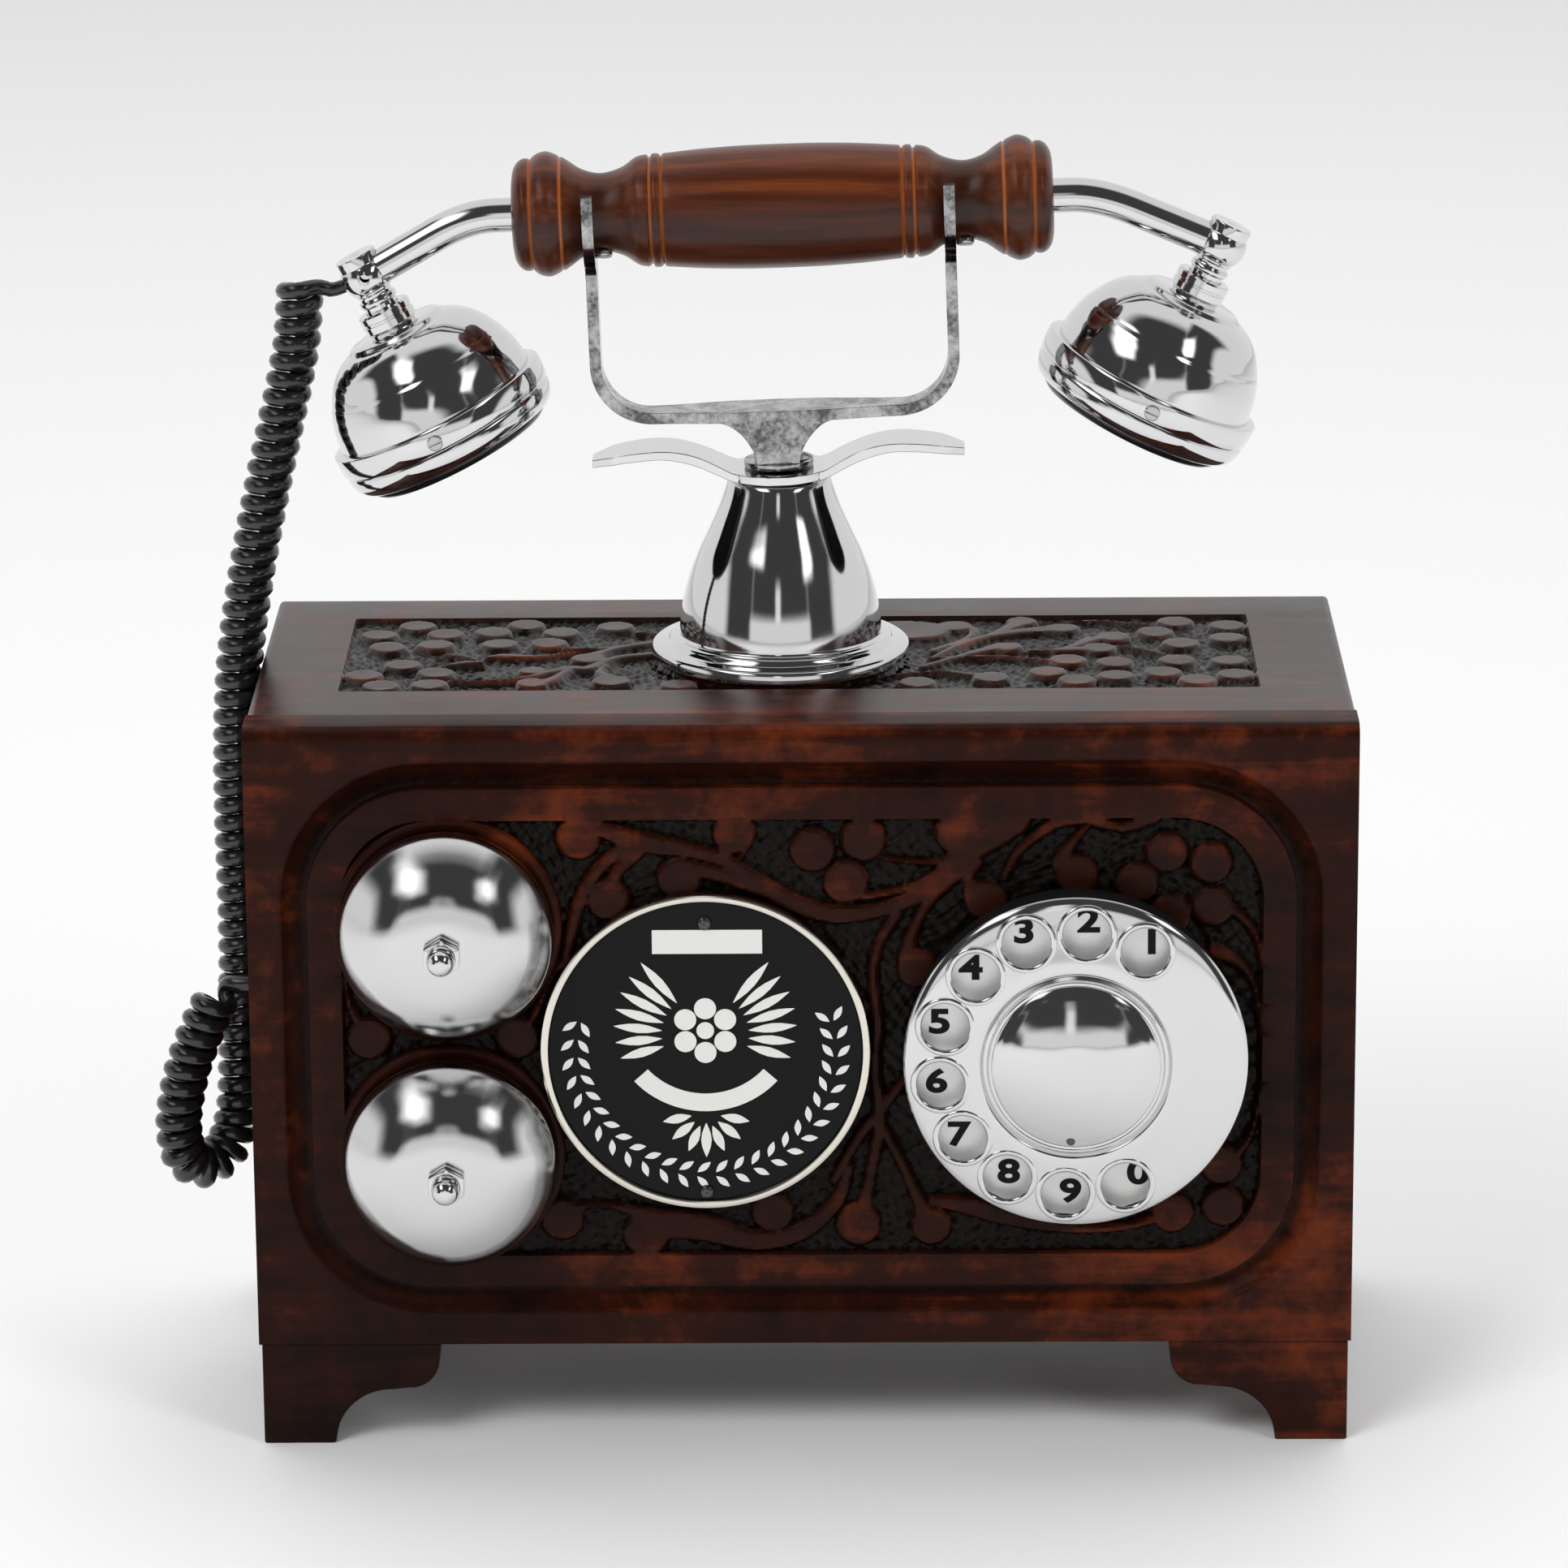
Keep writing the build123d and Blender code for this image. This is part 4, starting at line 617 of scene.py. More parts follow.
frontCarving = {
    "deep": 2.1,
    "buds": [
        (-50, 145, 5.2), (-43.5, 130.5, 5), (-15, 146, 5), (-27.5, 135.5, 5.2), (35, 146, 5.2), (62, 136, 5),
        (41.5, 130, 4.8), (26, 114, 4.8), (-98, 98, 5.2), (-64.5, 98, 5.2), (-55, 54.5, 5.2),
             (-36, 50.5, 5.3),
        (-7, 56, 5), (12.5, 53, 5.3), (29, 52.5, 4.8),
        (2.5, 142, 5.3), (14, 144.5, 5.3), (10, 134.5, 5.3),
        (82, 141, 5), (92, 138.5, 5), (75.5, 134, 5), (92.5, 128.5, 5), (83, 126.5, 5),
        (95, 67, 5), (95.5, 57, 5), (84, 55.5, 5), (84, 65.5, 4.6),
    ],
    "stems": [
        [(-46, 147.5, 2), (-36, 144, 2.6), (-25, 142, 2), (-15, 138.5, 1.8), (-5, 131.5, 2.4), (6, 127, 2.4),
         (18, 128, 2), (29, 133, 2.4), (37, 141.5, 3.5), (45, 150.5, 7)],
        [(-53.5, 114.5, 1.4), (-52, 123, 1.5), (-49, 132.5, 1.6), (-44.5, 139, 1.7), (-38.5, 143.5, 2)],
        [(-43, 132.5, 1.8), (-41.5, 137, 1.6), (-37, 141.5, 1.8)],
        [(-16, 144.5, 2.5), (-17.5, 141.5, 1.5), (-15, 138, 1.5)],
        [(-11.5, 149, 0.7), (-11, 144.5, 0.7), (-15, 138.5, 0.7)],
        [(-25, 138, 2.2), (-17.5, 136, 2), (-8.5, 132.5, 1.8), (-2.5, 129.5, 2)],
        [(18, 140, 0.8), (26, 139, 0.8), (33.5, 139.5, 1.2), (39.5, 143.5, 1), (41, 145.5, 0.8)],
        [(14, 131, 1.2), (22.5, 132.5, 1), (31.5, 136.5, 1.4), (38, 139.5, 1.6)],
        [(39, 139, 2), (37.5, 135, 1.5), (39.5, 130.5, 3)],
        [(38.5, 138.5, 1.6), (30, 131.5, 1.4), (25, 122.5, 1.4), (24, 116, 2.6)],
        [(65.5, 148.5, 0.6), (61, 143.5, 1.2), (58.5, 139, 2.2), (60.5, 135.5, 3)],
        [(63.5, 150.5, 3), (57, 148, 1.6), (49, 141.5, 1.2), (45.5, 135, 1)],
        [(65.5, 148.5, 1.5), (72.5, 147, 1.4), (79, 149.5, 2)],
        [(21.5, 127, 1.4), (17.5, 120, 1.3), (16, 112.5, 1.3), (17, 101.5, 1.4), (16.5, 90, 1.4),
         (17.5, 78, 1.6), (16, 68.5, 1.4), (14.5, 60.5, 1.6), (13.5, 55, 2.4)],
        [(17.5, 77, 1.4), (21.5, 69.5, 1.3), (25, 61.5, 1.5), (28, 54.5, 2.2)],
        [(7, 63.5, 1.2), (12.5, 73.5, 1.3), (17.5, 80, 1.4), (23.5, 88, 1.2)],
        [(-64.5, 98, 1.5), (-60.5, 103.5, 1.1), (-56.5, 112.5, 1), (-53, 117, 1.2)],
        [(-98, 98, 1.5), (-102, 105, 1.1), (-103, 112.5, 0.9)],
        [(84, 55.5, 1.5), (73, 52, 1.2), (59, 52, 1.6), (46, 54.5, 2.2), (39, 57, 2.6), (29.5, 58.5, 1.5)],
        [(95.5, 129, 1.5), (102, 122, 1), (104, 112.5, 0.8), (105, 101, 0.7)],
        [(93.5, 118, 2.2), (99, 114.5, 1.4), (102.5, 108, 0.8), (104, 95, 0.7)],
        [(96, 66, 1.4), (101.5, 74, 1), (103.5, 83.5, 0.8), (104, 93.5, 0.7)],
        [(-36, 53, 4), (-24, 52.5, 3.6), (-11, 49, 2.6), (0, 51.5, 2.4), (7.5, 58.5, 1.8), (10.5, 66.5, 1.2)],
        [(-51.5, 57.5, 1.2), (-43.5, 57.5, 1), (-35, 55, 2.4)],
        [(-59, 55, 1.2), (-63, 61, 1), (-59.5, 67, 1.2)],
    ],
}

topCarving = {
    "deep": 1.6,
    "buds": [
        (-90.5, 90, 4.9), (-99, 82, 4.9), (-83.5, 82.5, 4.9), (-96.5, 71, 4.9), (-85.5, 73, 4.9),
        (-65, 90.5, 4.9), (-72.5, 84, 4.9), (-56.5, 83.5, 4.9), (-70.5, 73.5, 4.9), (-59, 74, 4.9),
        (-92, 55.5, 4.9), (-100.5, 46.5, 4.9), (-84, 48.5, 4.9), (-96, 37.5, 4.9), (-85, 38.5, 4.9),
        (87.5, 90.5, 4.9), (82.5, 81.5, 4.9), (99.5, 87, 4.9), (99, 76, 4.9), (88, 71.5, 4.9),
        (61.5, 57.5, 4.9), (72, 55, 4.9), (56.5, 47, 4.9), (72, 43.5, 4.9), (63, 40, 4.9),
        (86.5, 56.5, 4.9), (98.5, 56, 4.9), (83, 46.5, 4.9), (99.5, 44, 4.9), (90.5, 39.5, 4.9),
        (-44, 88.5, 4.9), (-49.5, 60.5, 4.6), (-43.5, 41, 5), (-28, 37.5, 4.8), (35.5, 87.5, 4.8),
        (51.5, 91.5, 4.2), (61, 85.5, 4.5), (72.5, 77.5, 4.6), (47.5, 69, 4.2), (69, 67.5, 4.4),
        (43.5, 42.5, 4.8), (26.5, 38.5, 4.8), (-62, 50, 3.8), (-61.5, 39.5, 4.2),
    ],
    "stems": [
        [(-39, 83, 0.8), (-34, 82.5, 0.9)],
        [(-55.5, 69.5, 0.9), (-45, 69.5, 1.2), (-34.5, 74.5, 2)],
        [(-49.5, 61.5, 3), (-45, 67.5, 1.6), (-40.5, 71, 1.4)],
        [(-80.5, 42.5, 0.8), (-71, 41.5, 0.8), (-62, 45, 1.2), (-54, 52, 1.8), (-49, 52.5, 2), (-43, 61, 1.6),
         (-34.5, 64.5, 1.8)],
        [(-61.5, 39.5, 3), (-57.5, 42, 2), (-53.5, 50.5, 1.5)],
        [(-43.5, 42.5, 3), (-46.5, 49, 1.5), (-45, 54.5, 1.2)],
        [(-73.5, 57, 0.7), (-77.5, 57.5, 1.6), (-83, 54, 0.6)],
        [(-84.5, 64, 0.6), (-80, 63.5, 1.3), (-75.5, 59.5, 0.6)],
        [(-73, 62, 0.8), (-68.5, 63.5, 2), (-61.5, 62.5, 1.2), (-51.5, 67, 0.7)],
        [(27.5, 52, 1.2), (39, 63.5, 1.6), (46.5, 70, 3)],
        [(30.5, 60, 1.2), (38, 73, 1.6), (44.5, 80, 1.6), (51, 90, 3)],
        [(43, 78, 1.2), (51.5, 83, 2.2), (61, 85.5, 3.5)],
        [(61.5, 91.5, 0.8), (70, 92, 0.9), (81.5, 88, 1)],
        [(51, 65, 0.6), (61, 67.5, 1.4), (67.5, 75.5, 2.6)],
        [(58.5, 65.5, 1), (69, 67.5, 3)],
        [(73, 70, 0.9), (79.5, 65.5, 0.8), (85, 60.5, 1)],
        [(22, 45.5, 1), (32.5, 47.5, 1), (42.5, 44, 2)],
        [(35.5, 87.5, 3), (40, 84.5, 1.8), (38, 76, 1.4), (30.5, 66, 1.6)],
        [(29.5, 59.5, 1), (46.5, 60.5, 1), (56.5, 57.5, 1)],
        [(23, 84, 9), (27, 84, 8)],
    ],
}


def gapToStem(across, up, stem):
    # how far points are outside a tapered stem, negative inside
    line = smoothLine(stem, 5)
    gap = np.full(across.shape, 1e6)
    for (x0, z0, w0), (x1, z1, w1) in zip(line, line[1:]):
        dx, dz = x1 - x0, z1 - z0
        along = np.clip(((across - x0) * dx + (up - z0) * dz) / max(dx * dx + dz * dz, 1e-9), 0, 1)
        away = np.hypot(across - x0 - along * dx, up - z0 - along * dz)
        gap = np.minimum(gap, away - (w0 + (w1 - w0) * along))
    return gap


def eased(share):
    # from 0 to 1 with level ends
    share = np.clip(share, 0, 1)
    return share * share * (3 - 2 * share)


def risen(gap):
    # 1 well inside a motif, 0 outside it, rounded over its edge
    return eased((carving["outside"] - gap) / carving["edge"])


def carvedHeight(across, up, edgeGap, pattern):
    # depth of the carving and how hollow it is, for arrays of places in millimetres
    top = np.zeros(across.shape)
    for x, z, radius in pattern["buds"]:
        top = np.maximum(top, risen(np.hypot(across - x, up - z) - radius))
    for stem in pattern["stems"]:
        top = np.maximum(top, risen(gapToStem(across, up, stem)))
    top = np.maximum(top, eased(1 - edgeGap / carving["rim"]))
    punch = 2 * pi / carving["punch"]
    wave = np.sin(across * 0.21 + up * 0.13) * 2.1 + np.sin(across * 0.07 - up * 0.31) * 1.7
    dents = np.sin((across + wave) * punch) * np.sin((up - wave * 0.8) * punch * 0.8)
    rough = np.sin(across * 3.1 + wave) * np.sin(up * 2.7 - wave) * 0.5 + np.sin(across * 0.9 - up * 1.3)
    uneven = (np.sin(across * 0.16 + 1.3) * np.sin(up * 0.23) + np.sin(across * 0.41 - up * 0.37)) * 0.5
    inside = np.clip(edgeGap / carving["fadeIn"], 0, 1)
    ground = -pattern["deep"] + carving["punchDeep"] * (dents * 0.7 + rough * 0.3)
    surface = (uneven - 1) * carving["uneven"] * inside
    return ground + (surface - ground) * top, 1 - top


def carvedGrid(bm, half, radius, spacing):
    # a fine grid trimmed to round corners, its cut edge drawn onto the arcs
    count = [round(2 * h / spacing) for h in half]
    bmesh.ops.create_grid(bm, x_segments=count[0], y_segments=count[1], size=1)
    for vert in bm.verts:
        vert.co = (vert.co.x * half[0], vert.co.y * half[1], 0)

    def beyond(co):
        outX, outZ = abs(co.x) - (half[0] - radius), abs(co.y) - (half[1] - radius)
        return hypot(outX, outZ) / radius if outX > 0 and outZ > 0 else 0

    outside = [f for f in bm.faces if beyond(f.calc_center_median()) > 1]
    bmesh.ops.delete(bm, geom=outside, context="FACES")
    for vert in {v for e in rimEdges(bm) for v in e.verts}:
        reach = beyond(vert.co)
        if reach:
            for axis in (0, 1):
                over = abs(vert.co[axis]) - (half[axis] - radius)
                vert.co[axis] += (over / reach - over) * (1 if vert.co[axis] > 0 else -1)
    bmesh.ops.remove_doubles(bm, verts=bm.verts, dist=spacing * 0.1)


def rimEdges(bm):
    return [e for e in bm.edges if len(e.link_faces) == 1]


def extendRim(bm, edges, mover):
    # one more ring round the work, each new point placed by mover
    made = bmesh.ops.extrude_edge_only(bm, edges=edges)["geom"]
    verts = [g for g in made if isinstance(g, bmesh.types.BMVert)]
    for vert in verts:
        vert.co = mover(vert.co)
    rim = set(verts)
    return [g for g in made if isinstance(g, bmesh.types.BMEdge) and g.verts[0] in rim and g.verts[1] in rim]


def outward(half, radius, step, drop):
    # moves a rounded rectangle's rim outward by a step and down to a depth
    def move(co):
        cornerX, cornerZ = half[0] - radius, half[1] - radius
        x, z = abs(co.x), abs(co.y)
        signX, signZ = (1 if co.x > 0 else -1), (1 if co.y > 0 else -1)
        overX, overZ = max(0, x - cornerX), max(0, z - cornerZ)
        away = hypot(overX, overZ)
        grown = (away + step) / away
        newX = cornerX + overX * grown if overX else x
        newZ = cornerZ + overZ * grown if overZ else z
        return Vector((newX * signX, newZ * signZ, -drop))
    return move


def ontoRectangle(bm, edges, half, radius, low, high):
    # carries a rounded rim out to a rectangle between low and high, with a point on each corner
    def move(co):
        cornerX, cornerZ = half[0] - radius, half[1] - radius
        limitX = high[0] if co.x > 0 else -low[0]
        limitZ = high[1] if co.y > 0 else -low[1]
        signX, signZ = (1 if co.x > 0 else -1), (1 if co.y > 0 else -1)
        overX, overZ = abs(co.x) - cornerX, abs(co.y) - cornerZ
        if overX > 1e-6 and overZ > 1e-6:
            grow = min((limitX - cornerX) / overX, (limitZ - cornerZ) / overZ)
            x, z = cornerX + overX * grow, cornerZ + overZ * grow
        elif overX > 1e-6:
            x, z = limitX, abs(co.y)
        else:
            x, z = abs(co.x), limitZ
        return Vector((x * signX, z * signZ, 0))

    edges = extendRim(bm, edges, move)
    verts = {v for e in edges for v in e.verts}
    for cornerX in (low[0], high[0]):
        for cornerZ in (low[1], high[1]):
            corner = Vector((cornerX, cornerZ, 0))
            nearest = min(verts, key=lambda v: (v.co - corner).length)
            nearest.co = corner
    return edges


def closeBack(bm, edges):
    bmesh.ops.contextual_create(bm, geom=edges)
    bmesh.ops.recalc_face_normals(bm, faces=bm.faces)


def carveField(bm, pattern, shift):
    # sinks the grid by the pattern; returns how hollow each point is, kept in a bmesh layer
    layer = bm.verts.layers.float.new("hollow")
    verts = list(bm.verts)
    rim = {v for e in rimEdges(bm) for v in e.verts}
    across = np.array([v.co.x + shift[0] for v in verts])
    up = np.array([v.co.y + shift[1] for v in verts])
    edgeGap = fieldGap(np.array([v.co.x for v in verts]), np.array([v.co.y for v in verts]), pattern)
    height, hollow = carvedHeight(across, up, edgeGap, pattern)
    for vert, z, share in zip(verts, height, hollow):
        vert.co.z = 0.0 if vert in rim else float(z)
        vert[layer] = 0.0 if vert in rim else float(share)


def fieldGap(x, z, pattern):
    # distance inside the field's rounded edge
    half, radius = pattern["half"], pattern["radius"]
    overX = np.abs(x) - (half[0] - radius)
    overZ = np.abs(z) - (half[1] - radius)
    corner = np.hypot(np.maximum(overX, 0), np.maximum(overZ, 0)) + np.minimum(np.maximum(overX, overZ), 0)
    return radius - corner


# the last three keys set the painted shade in the cove: its strength, how far it reaches and the depth it starts at
frontBoard = {"half": (125.0, 73.2), "inner": (111.5, 59.3), "field": (104.0, 51.8),
              "fieldRadius": 19.5, "cove": 6.0, "coveDeep": 3.6, "edgeRound": 3.5, "thick": 12.5,
              "spacing": 0.62, "coveShade": 0.62, "coveShadeReach": 9, "coveShadeFrom": -0.3}


def shadeCove(bm, pastX, pastZ):
    # painted shade in the deep side of the cove, written into the hollow layer, darker with depth and fading away
    # from the inner edge
    f = frontBoard
    layer = bm.verts.layers.float["hollow"]
    for vert in bm.verts:
        if vert[layer] == 0 and vert.co.z < f["coveShadeFrom"]:
            past = max(abs(vert.co.x) - pastX, abs(vert.co.y) - pastZ, 0)
            vert[layer] = f["coveShade"] * max(0.0, -vert.co.z / f["coveDeep"]) * max(0.0, 1 - past / f["coveShadeReach"])


def makeFrontPanel():
    # carved field, flat band, sharp inner edge, hollow cove, flat frame, rounded top edge
    f = frontBoard
    frontCarving.update(half=f["field"], radius=f["fieldRadius"])
    centre = middle("front_panel")
    bm = bmesh.new()
    carvedGrid(bm, f["field"], f["fieldRadius"], f["spacing"])
    carveField(bm, frontCarving, (centre.x, centre.z))
    edges = rimEdges(bm)
    band = f["inner"][0] - f["field"][0]
    half, radius = f["field"], f["fieldRadius"]
    rings = [(band - 0.5, 0.0), (band - 0.12, 0.12), (band, 0.5), (band, f["coveDeep"] * 0.96)]
    rings += [(band + f["cove"] * share, f["coveDeep"] * cos(share * pi / 2) ** 0.8)
              for share in (0.12, 0.28, 0.45, 0.62, 0.78, 0.92)]
    rings += [(band + f["cove"], 0.12), (band + f["cove"] + 0.8, 0.0)]
    reached = 0.0
    for reach, drop in rings:
        edges = extendRim(bm, edges, outward((half[0] + reached, half[1] + reached), radius + reached,
                                             reach - reached, drop))
        reached = reach
    # paints shade into the cove's deep side
    shadeCove(bm, f["field"][0] + band - 0.05, f["field"][1] + band - 0.05)
    half = (half[0] + reached, half[1] + reached)
    wide, high = f["half"]
    rounded = f["edgeRound"]
    edges = ontoRectangle(bm, edges, half, radius + reached, (-wide, -high), (wide, high - rounded))
    level = high - rounded
    for step in range(1, 6):
        a = step / 5 * pi / 2
        newLevel = high - rounded + rounded * sin(a)
        depth = rounded * (1 - cos(a))
        edges = extendRim(bm, edges, lambda co, old=level, new=newLevel, d=depth:
                          Vector((co.x, new if abs(co.y - old) < 1e-4 else co.y, -d)))
        level = newLevel
    edges = extendRim(bm, edges, lambda co: Vector((co.x, co.y, -f["thick"])))
    closeBack(bm, edges)
    keep(bm, "frontPanelCarved", "boxWood", frontAxis(centre), nodes=("front_panel",), sharpAt=50)


topBoardSizes = {"field": (105.0, 32.0), "fieldAt": (-0.5, 64.0), "radius": 0.6, "spacing": 0.6,
                 "edgeRound": 2.0, "thick": 10.0, "standDisc": 28.8, "lip": 0.4}


def makeTopBoard():
    # carved field in a plain board with rounded ends and back
    f = topBoardSizes
    topCarving.update(half=f["field"], radius=f["radius"])
    low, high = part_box("top_board")
    low, high = fromMm.inverted() @ low, fromMm.inverted() @ high
    stand = middle("cone_stand")
    pattern = dict(topCarving, buds=topCarving["buds"] + [(stand.x, stand.y, f["standDisc"])])
    bm = bmesh.new()
    carvedGrid(bm, f["field"], f["radius"], f["spacing"])
    carveField(bm, pattern, f["fieldAt"])
    edges = rimEdges(bm)
    edges = extendRim(bm, edges, outward(f["field"], f["radius"], f["lip"], 0.0))
    half = (f["field"][0] + f["lip"], f["field"][1] + f["lip"])
    r = f["edgeRound"]
    west, east = low.x - f["fieldAt"][0], high.x - f["fieldAt"][0]
    south, north = low.y - f["fieldAt"][1], high.y - f["fieldAt"][1]
    edges = ontoRectangle(bm, edges, half, f["radius"] + f["lip"], (west + r, south), (east - r, north - r))
    limits = [west + r, east - r, north - r]
    for step in range(1, 5):
        a = step / 4 * pi / 2
        out = r * sin(a)
        new = [west + r - out, east - r + out, north - r + out]

        def move(co, old=tuple(limits), new=tuple(new), d=r * (1 - cos(a))):
            x = new[0] if abs(co.x - old[0]) < 1e-4 else new[1] if abs(co.x - old[1]) < 1e-4 else co.x
            y = new[2] if abs(co.y - old[2]) < 1e-4 else co.y
            return Vector((x, y, -d))
        edges = extendRim(bm, edges, move)
        limits = new
    edges = extendRim(bm, edges, lambda co: Vector((co.x, co.y, -f["thick"])))
    closeBack(bm, edges)
    keep(bm, "topBoardCarved", "topWood", spotPlace(*f["fieldAt"], high.z), nodes=("top_board",), sharpAt=50)


makeFrontPanel()
makeTopBoard()
print("boards carved")


def copyMerged(node):
    # a bmesh of a node, its loose triangles joined and flat areas made one face, in millimetres
    bm = bmesh.new()
    bm.from_mesh(frame["nodes"][node].data)
    bmesh.ops.transform(bm, matrix=fromMm.inverted(), verts=bm.verts)
    bmesh.ops.remove_doubles(bm, verts=bm.verts, dist=0.002)
    bmesh.ops.dissolve_limit(bm, angle_limit=radians(0.4), verts=bm.verts, edges=bm.edges)
    return bm


def finishedCopy(node, name, finish, body="base", soften=0.0, sharpAt=35, sharpest=28):
    # a node's own shape, merged, softened and evenly shaded
    bm = copyMerged(node)
    if soften:
        softenEdges(bm, soften, sharpest)
    piece = keep(bm, name, finish, body=body, nodes=(node,), sharpAt=sharpAt)
    piece.modifiers.new("evenShading", "WEIGHTED_NORMAL").keep_sharp = True
    return piece


bell = {"apex": 19.5, "standOff": 4.0, "radius": 24.2, "wall": 0.9, "seat": 26.0, "seatRise": 0.35,
        "nut": 4.62, "nutTall": 3.0}


def measureReach(bm):
    # keeps each point's distance from the turning axis, for the turning marks
    layer = bm.verts.layers.float.new("reach")
    for vert in bm.verts:
        vert[layer] = hypot(vert.co.x, vert.co.y)


def makeBells():
    # gong with a broad flat crown, a rounded shoulder, a steep side and a rolled lip
    b = bell
    h = b["apex"]
    crown = smoothLine([(0, h), (7, h - 0.2), (12, h - 1.1), (15.5, h - 2.7), (18.5, h - 4.8), (21, h - 7.4),
                        (23, h - 9.9), (b["radius"] - 0.3, h - 11.4), (b["radius"], h - 12.6),
                        (b["radius"], b["standOff"] + 0.5)], 6)
    lip = [(b["radius"], b["standOff"] + 0.25), (b["radius"] - 0.1, b["standOff"]),
           (b["radius"] - b["wall"], b["standOff"] + 0.1)]
    inside = [(r - b["wall"], z - b["wall"] * 0.9) for r, z in reversed(crown[:-3]) if r > b["wall"]]
    outline = crown + lip + inside + [(0, h - b["wall"])]
    for name in ("upper", "lower"):
        centre = middle(f"bell_{name}")
        bm = turnedBmesh(outline, 160)
        measureReach(bm)
        keep(bm, f"bell{name.capitalize()}", "bellMetal", frontAxis(centre), nodes=(f"bell_{name}",),
             sharpAt=60)
        makeSeat(f"bellSeat{name.capitalize()}", centre, b["seat"], b["seatRise"])
        makeAcorn(name, centre)


def makeSeat(name, centre, radius, rise):
    # a turned wooden disc under a bell, with a ring groove near its edge
    outline = [(0, rise), (radius - 3.4, rise), (radius - 3.0, rise - 0.5), (radius - 2.5, rise),
               (radius - 0.9, rise), (radius - 0.25, rise - 0.3), (radius, rise - 1.0), (radius, -3.2),
               (0, -3.2)]
    turned(name, "boxWood", outline, frontAxis(centre), steps=96, sharpAt=50)


def makeAcorn(name, centre):
    # washer face, hexagon and domed cap nut as one turned stack
    base = bell["apex"]
    bm = bmesh.new()
    bmesh.ops.create_cone(bm, cap_ends=True, segments=6, radius1=bell["nut"], radius2=bell["nut"],
                          depth=bell["nutTall"])
    bmesh.ops.translate(bm, verts=bm.verts, vec=(0, 0, base + bell["nutTall"] / 2))
    softenEdges(bm, 0.35)
    keep(bm, f"bellHexNut{name.capitalize()}", "chrome", frontAxis(centre))
    outline = [(0, base + 3.0), (3.1, base + 3.0), (3.3, base + 3.2), (3.3, base + 4.0)]
    outline += smoothLine([(3.0, base + 4.3), (3.2, base + 5.6), (2.6, base + 7.3), (1.4, base + 8.3),
                           (0, base + 8.5)], 5)
    turned(f"bellAcornNut{name.capitalize()}", "chrome", outline, frontAxis(centre), steps=48, sharpAt=50)


makeBells()
for node in ("bell_hex_nuts", "bell_acorn_nuts"):
    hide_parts(node)
print("bells hung")


badge = {"radius": 37.4, "rim": 2.0, "thick": 3.0, "face": 2.05, "raise": 0.07, "panel": (24.8, 5.6, 26.6),
         "wreathAt": 29.4, "wreath": 26, "petal": 2.5, "flower": 5.2}


def printedShape(bm, place, segments=16, pinch=0.0):
    # a thin raised patch: a round one, a pointed leaf when pinched, or a block of four segments
    verts = bmesh.ops.create_circle(bm, cap_ends=True, segments=segments, radius=1)["verts"]
    for vert in verts:
        vert.co.y *= 1 - pinch * vert.co.x ** 2
    bmesh.ops.transform(bm, matrix=place, verts=verts)
    raisePatch(bm, list({f for v in verts for f in v.link_faces}))


def raisePatch(bm, faces):
    made = bmesh.ops.extrude_face_region(bm, geom=faces)["geom"]
    lifted = [g for g in made if isinstance(g, bmesh.types.BMVert)]
    bmesh.ops.translate(bm, verts=lifted, vec=(0, 0, badge["raise"] + 0.05))


def leaf(bm, reach, turn, lean, length, width, up=0.0):
    # a leaf that starts at a reach and turn from a centre and points along a lean
    start = Vector((reach * cos(turn), reach * sin(turn) + up, badge["face"] - 0.05))
    half = Vector((cos(lean), sin(lean), 0)) * length / 2
    place = Matrix.Translation(start + half) @ Matrix.Rotation(lean, 4, "Z")
    printedShape(bm, place @ Matrix.Diagonal((length / 2, width, 1, 1)), pinch=0.75)


def dot(bm, x, z, radius):
    printedShape(bm, Matrix.Translation((x, z, badge["face"] - 0.05))
                 @ Matrix.Diagonal((radius, radius, 1, 1)), 24)


def makeBadge():
    b = badge
    centre = middle("badge_rim")
    place = frontAxis(centre)
    inner = b["radius"] - b["rim"]
    rim = [(inner, 0.2), (inner, b["thick"] - 0.7), (inner + 0.25, b["thick"] - 0.2),
           (inner + 0.7, b["thick"]), (b["radius"] - 0.7, b["thick"]), (b["radius"] - 0.2, b["thick"] - 0.25),
           (b["radius"], b["thick"] - 0.8), (b["radius"], 0.0), (inner, 0.0)]
    turned("badgeRim", "nickel", rim + rim[:1], place, steps=160, nodes=("badge_rim",))
    plate = [(0, b["face"]), (inner - 0.1, b["face"]), (inner - 0.1, 0.1), (0, 0.1)]
    turned("badgePlate", "badgeEnamel", plate, place, steps=96, nodes=("badge_plate",))
    bm = bmesh.new()
    width, tall, at = b["panel"]
    panel = Matrix.Translation((0.6, at - tall / 2 + 2.2, b["face"] - 0.05))
    panel = panel @ Matrix.Diagonal((width / 2, tall / 2, 1, 1)) @ Matrix.Rotation(pi / 4, 4, "Z")
    printedShape(bm, panel @ Matrix.Diagonal((2 ** 0.5, 2 ** 0.5, 1, 1)), 4)
    for i in range(b["wreath"]):
        a = radians(166 + i * (208 / (b["wreath"] - 1)))
        for side in (-1, 1):
            leaf(bm, b["wreathAt"] + side * 0.5, a, a + pi / 2 - side * 0.75, 3.9, 0.78)
    drawRosette(bm)
    bmesh.ops.recalc_face_normals(bm, faces=bm.faces)
    keep(bm, "badgeOrnament", "badgeSilver", place)
    makeBadgeScrews(centre, place)


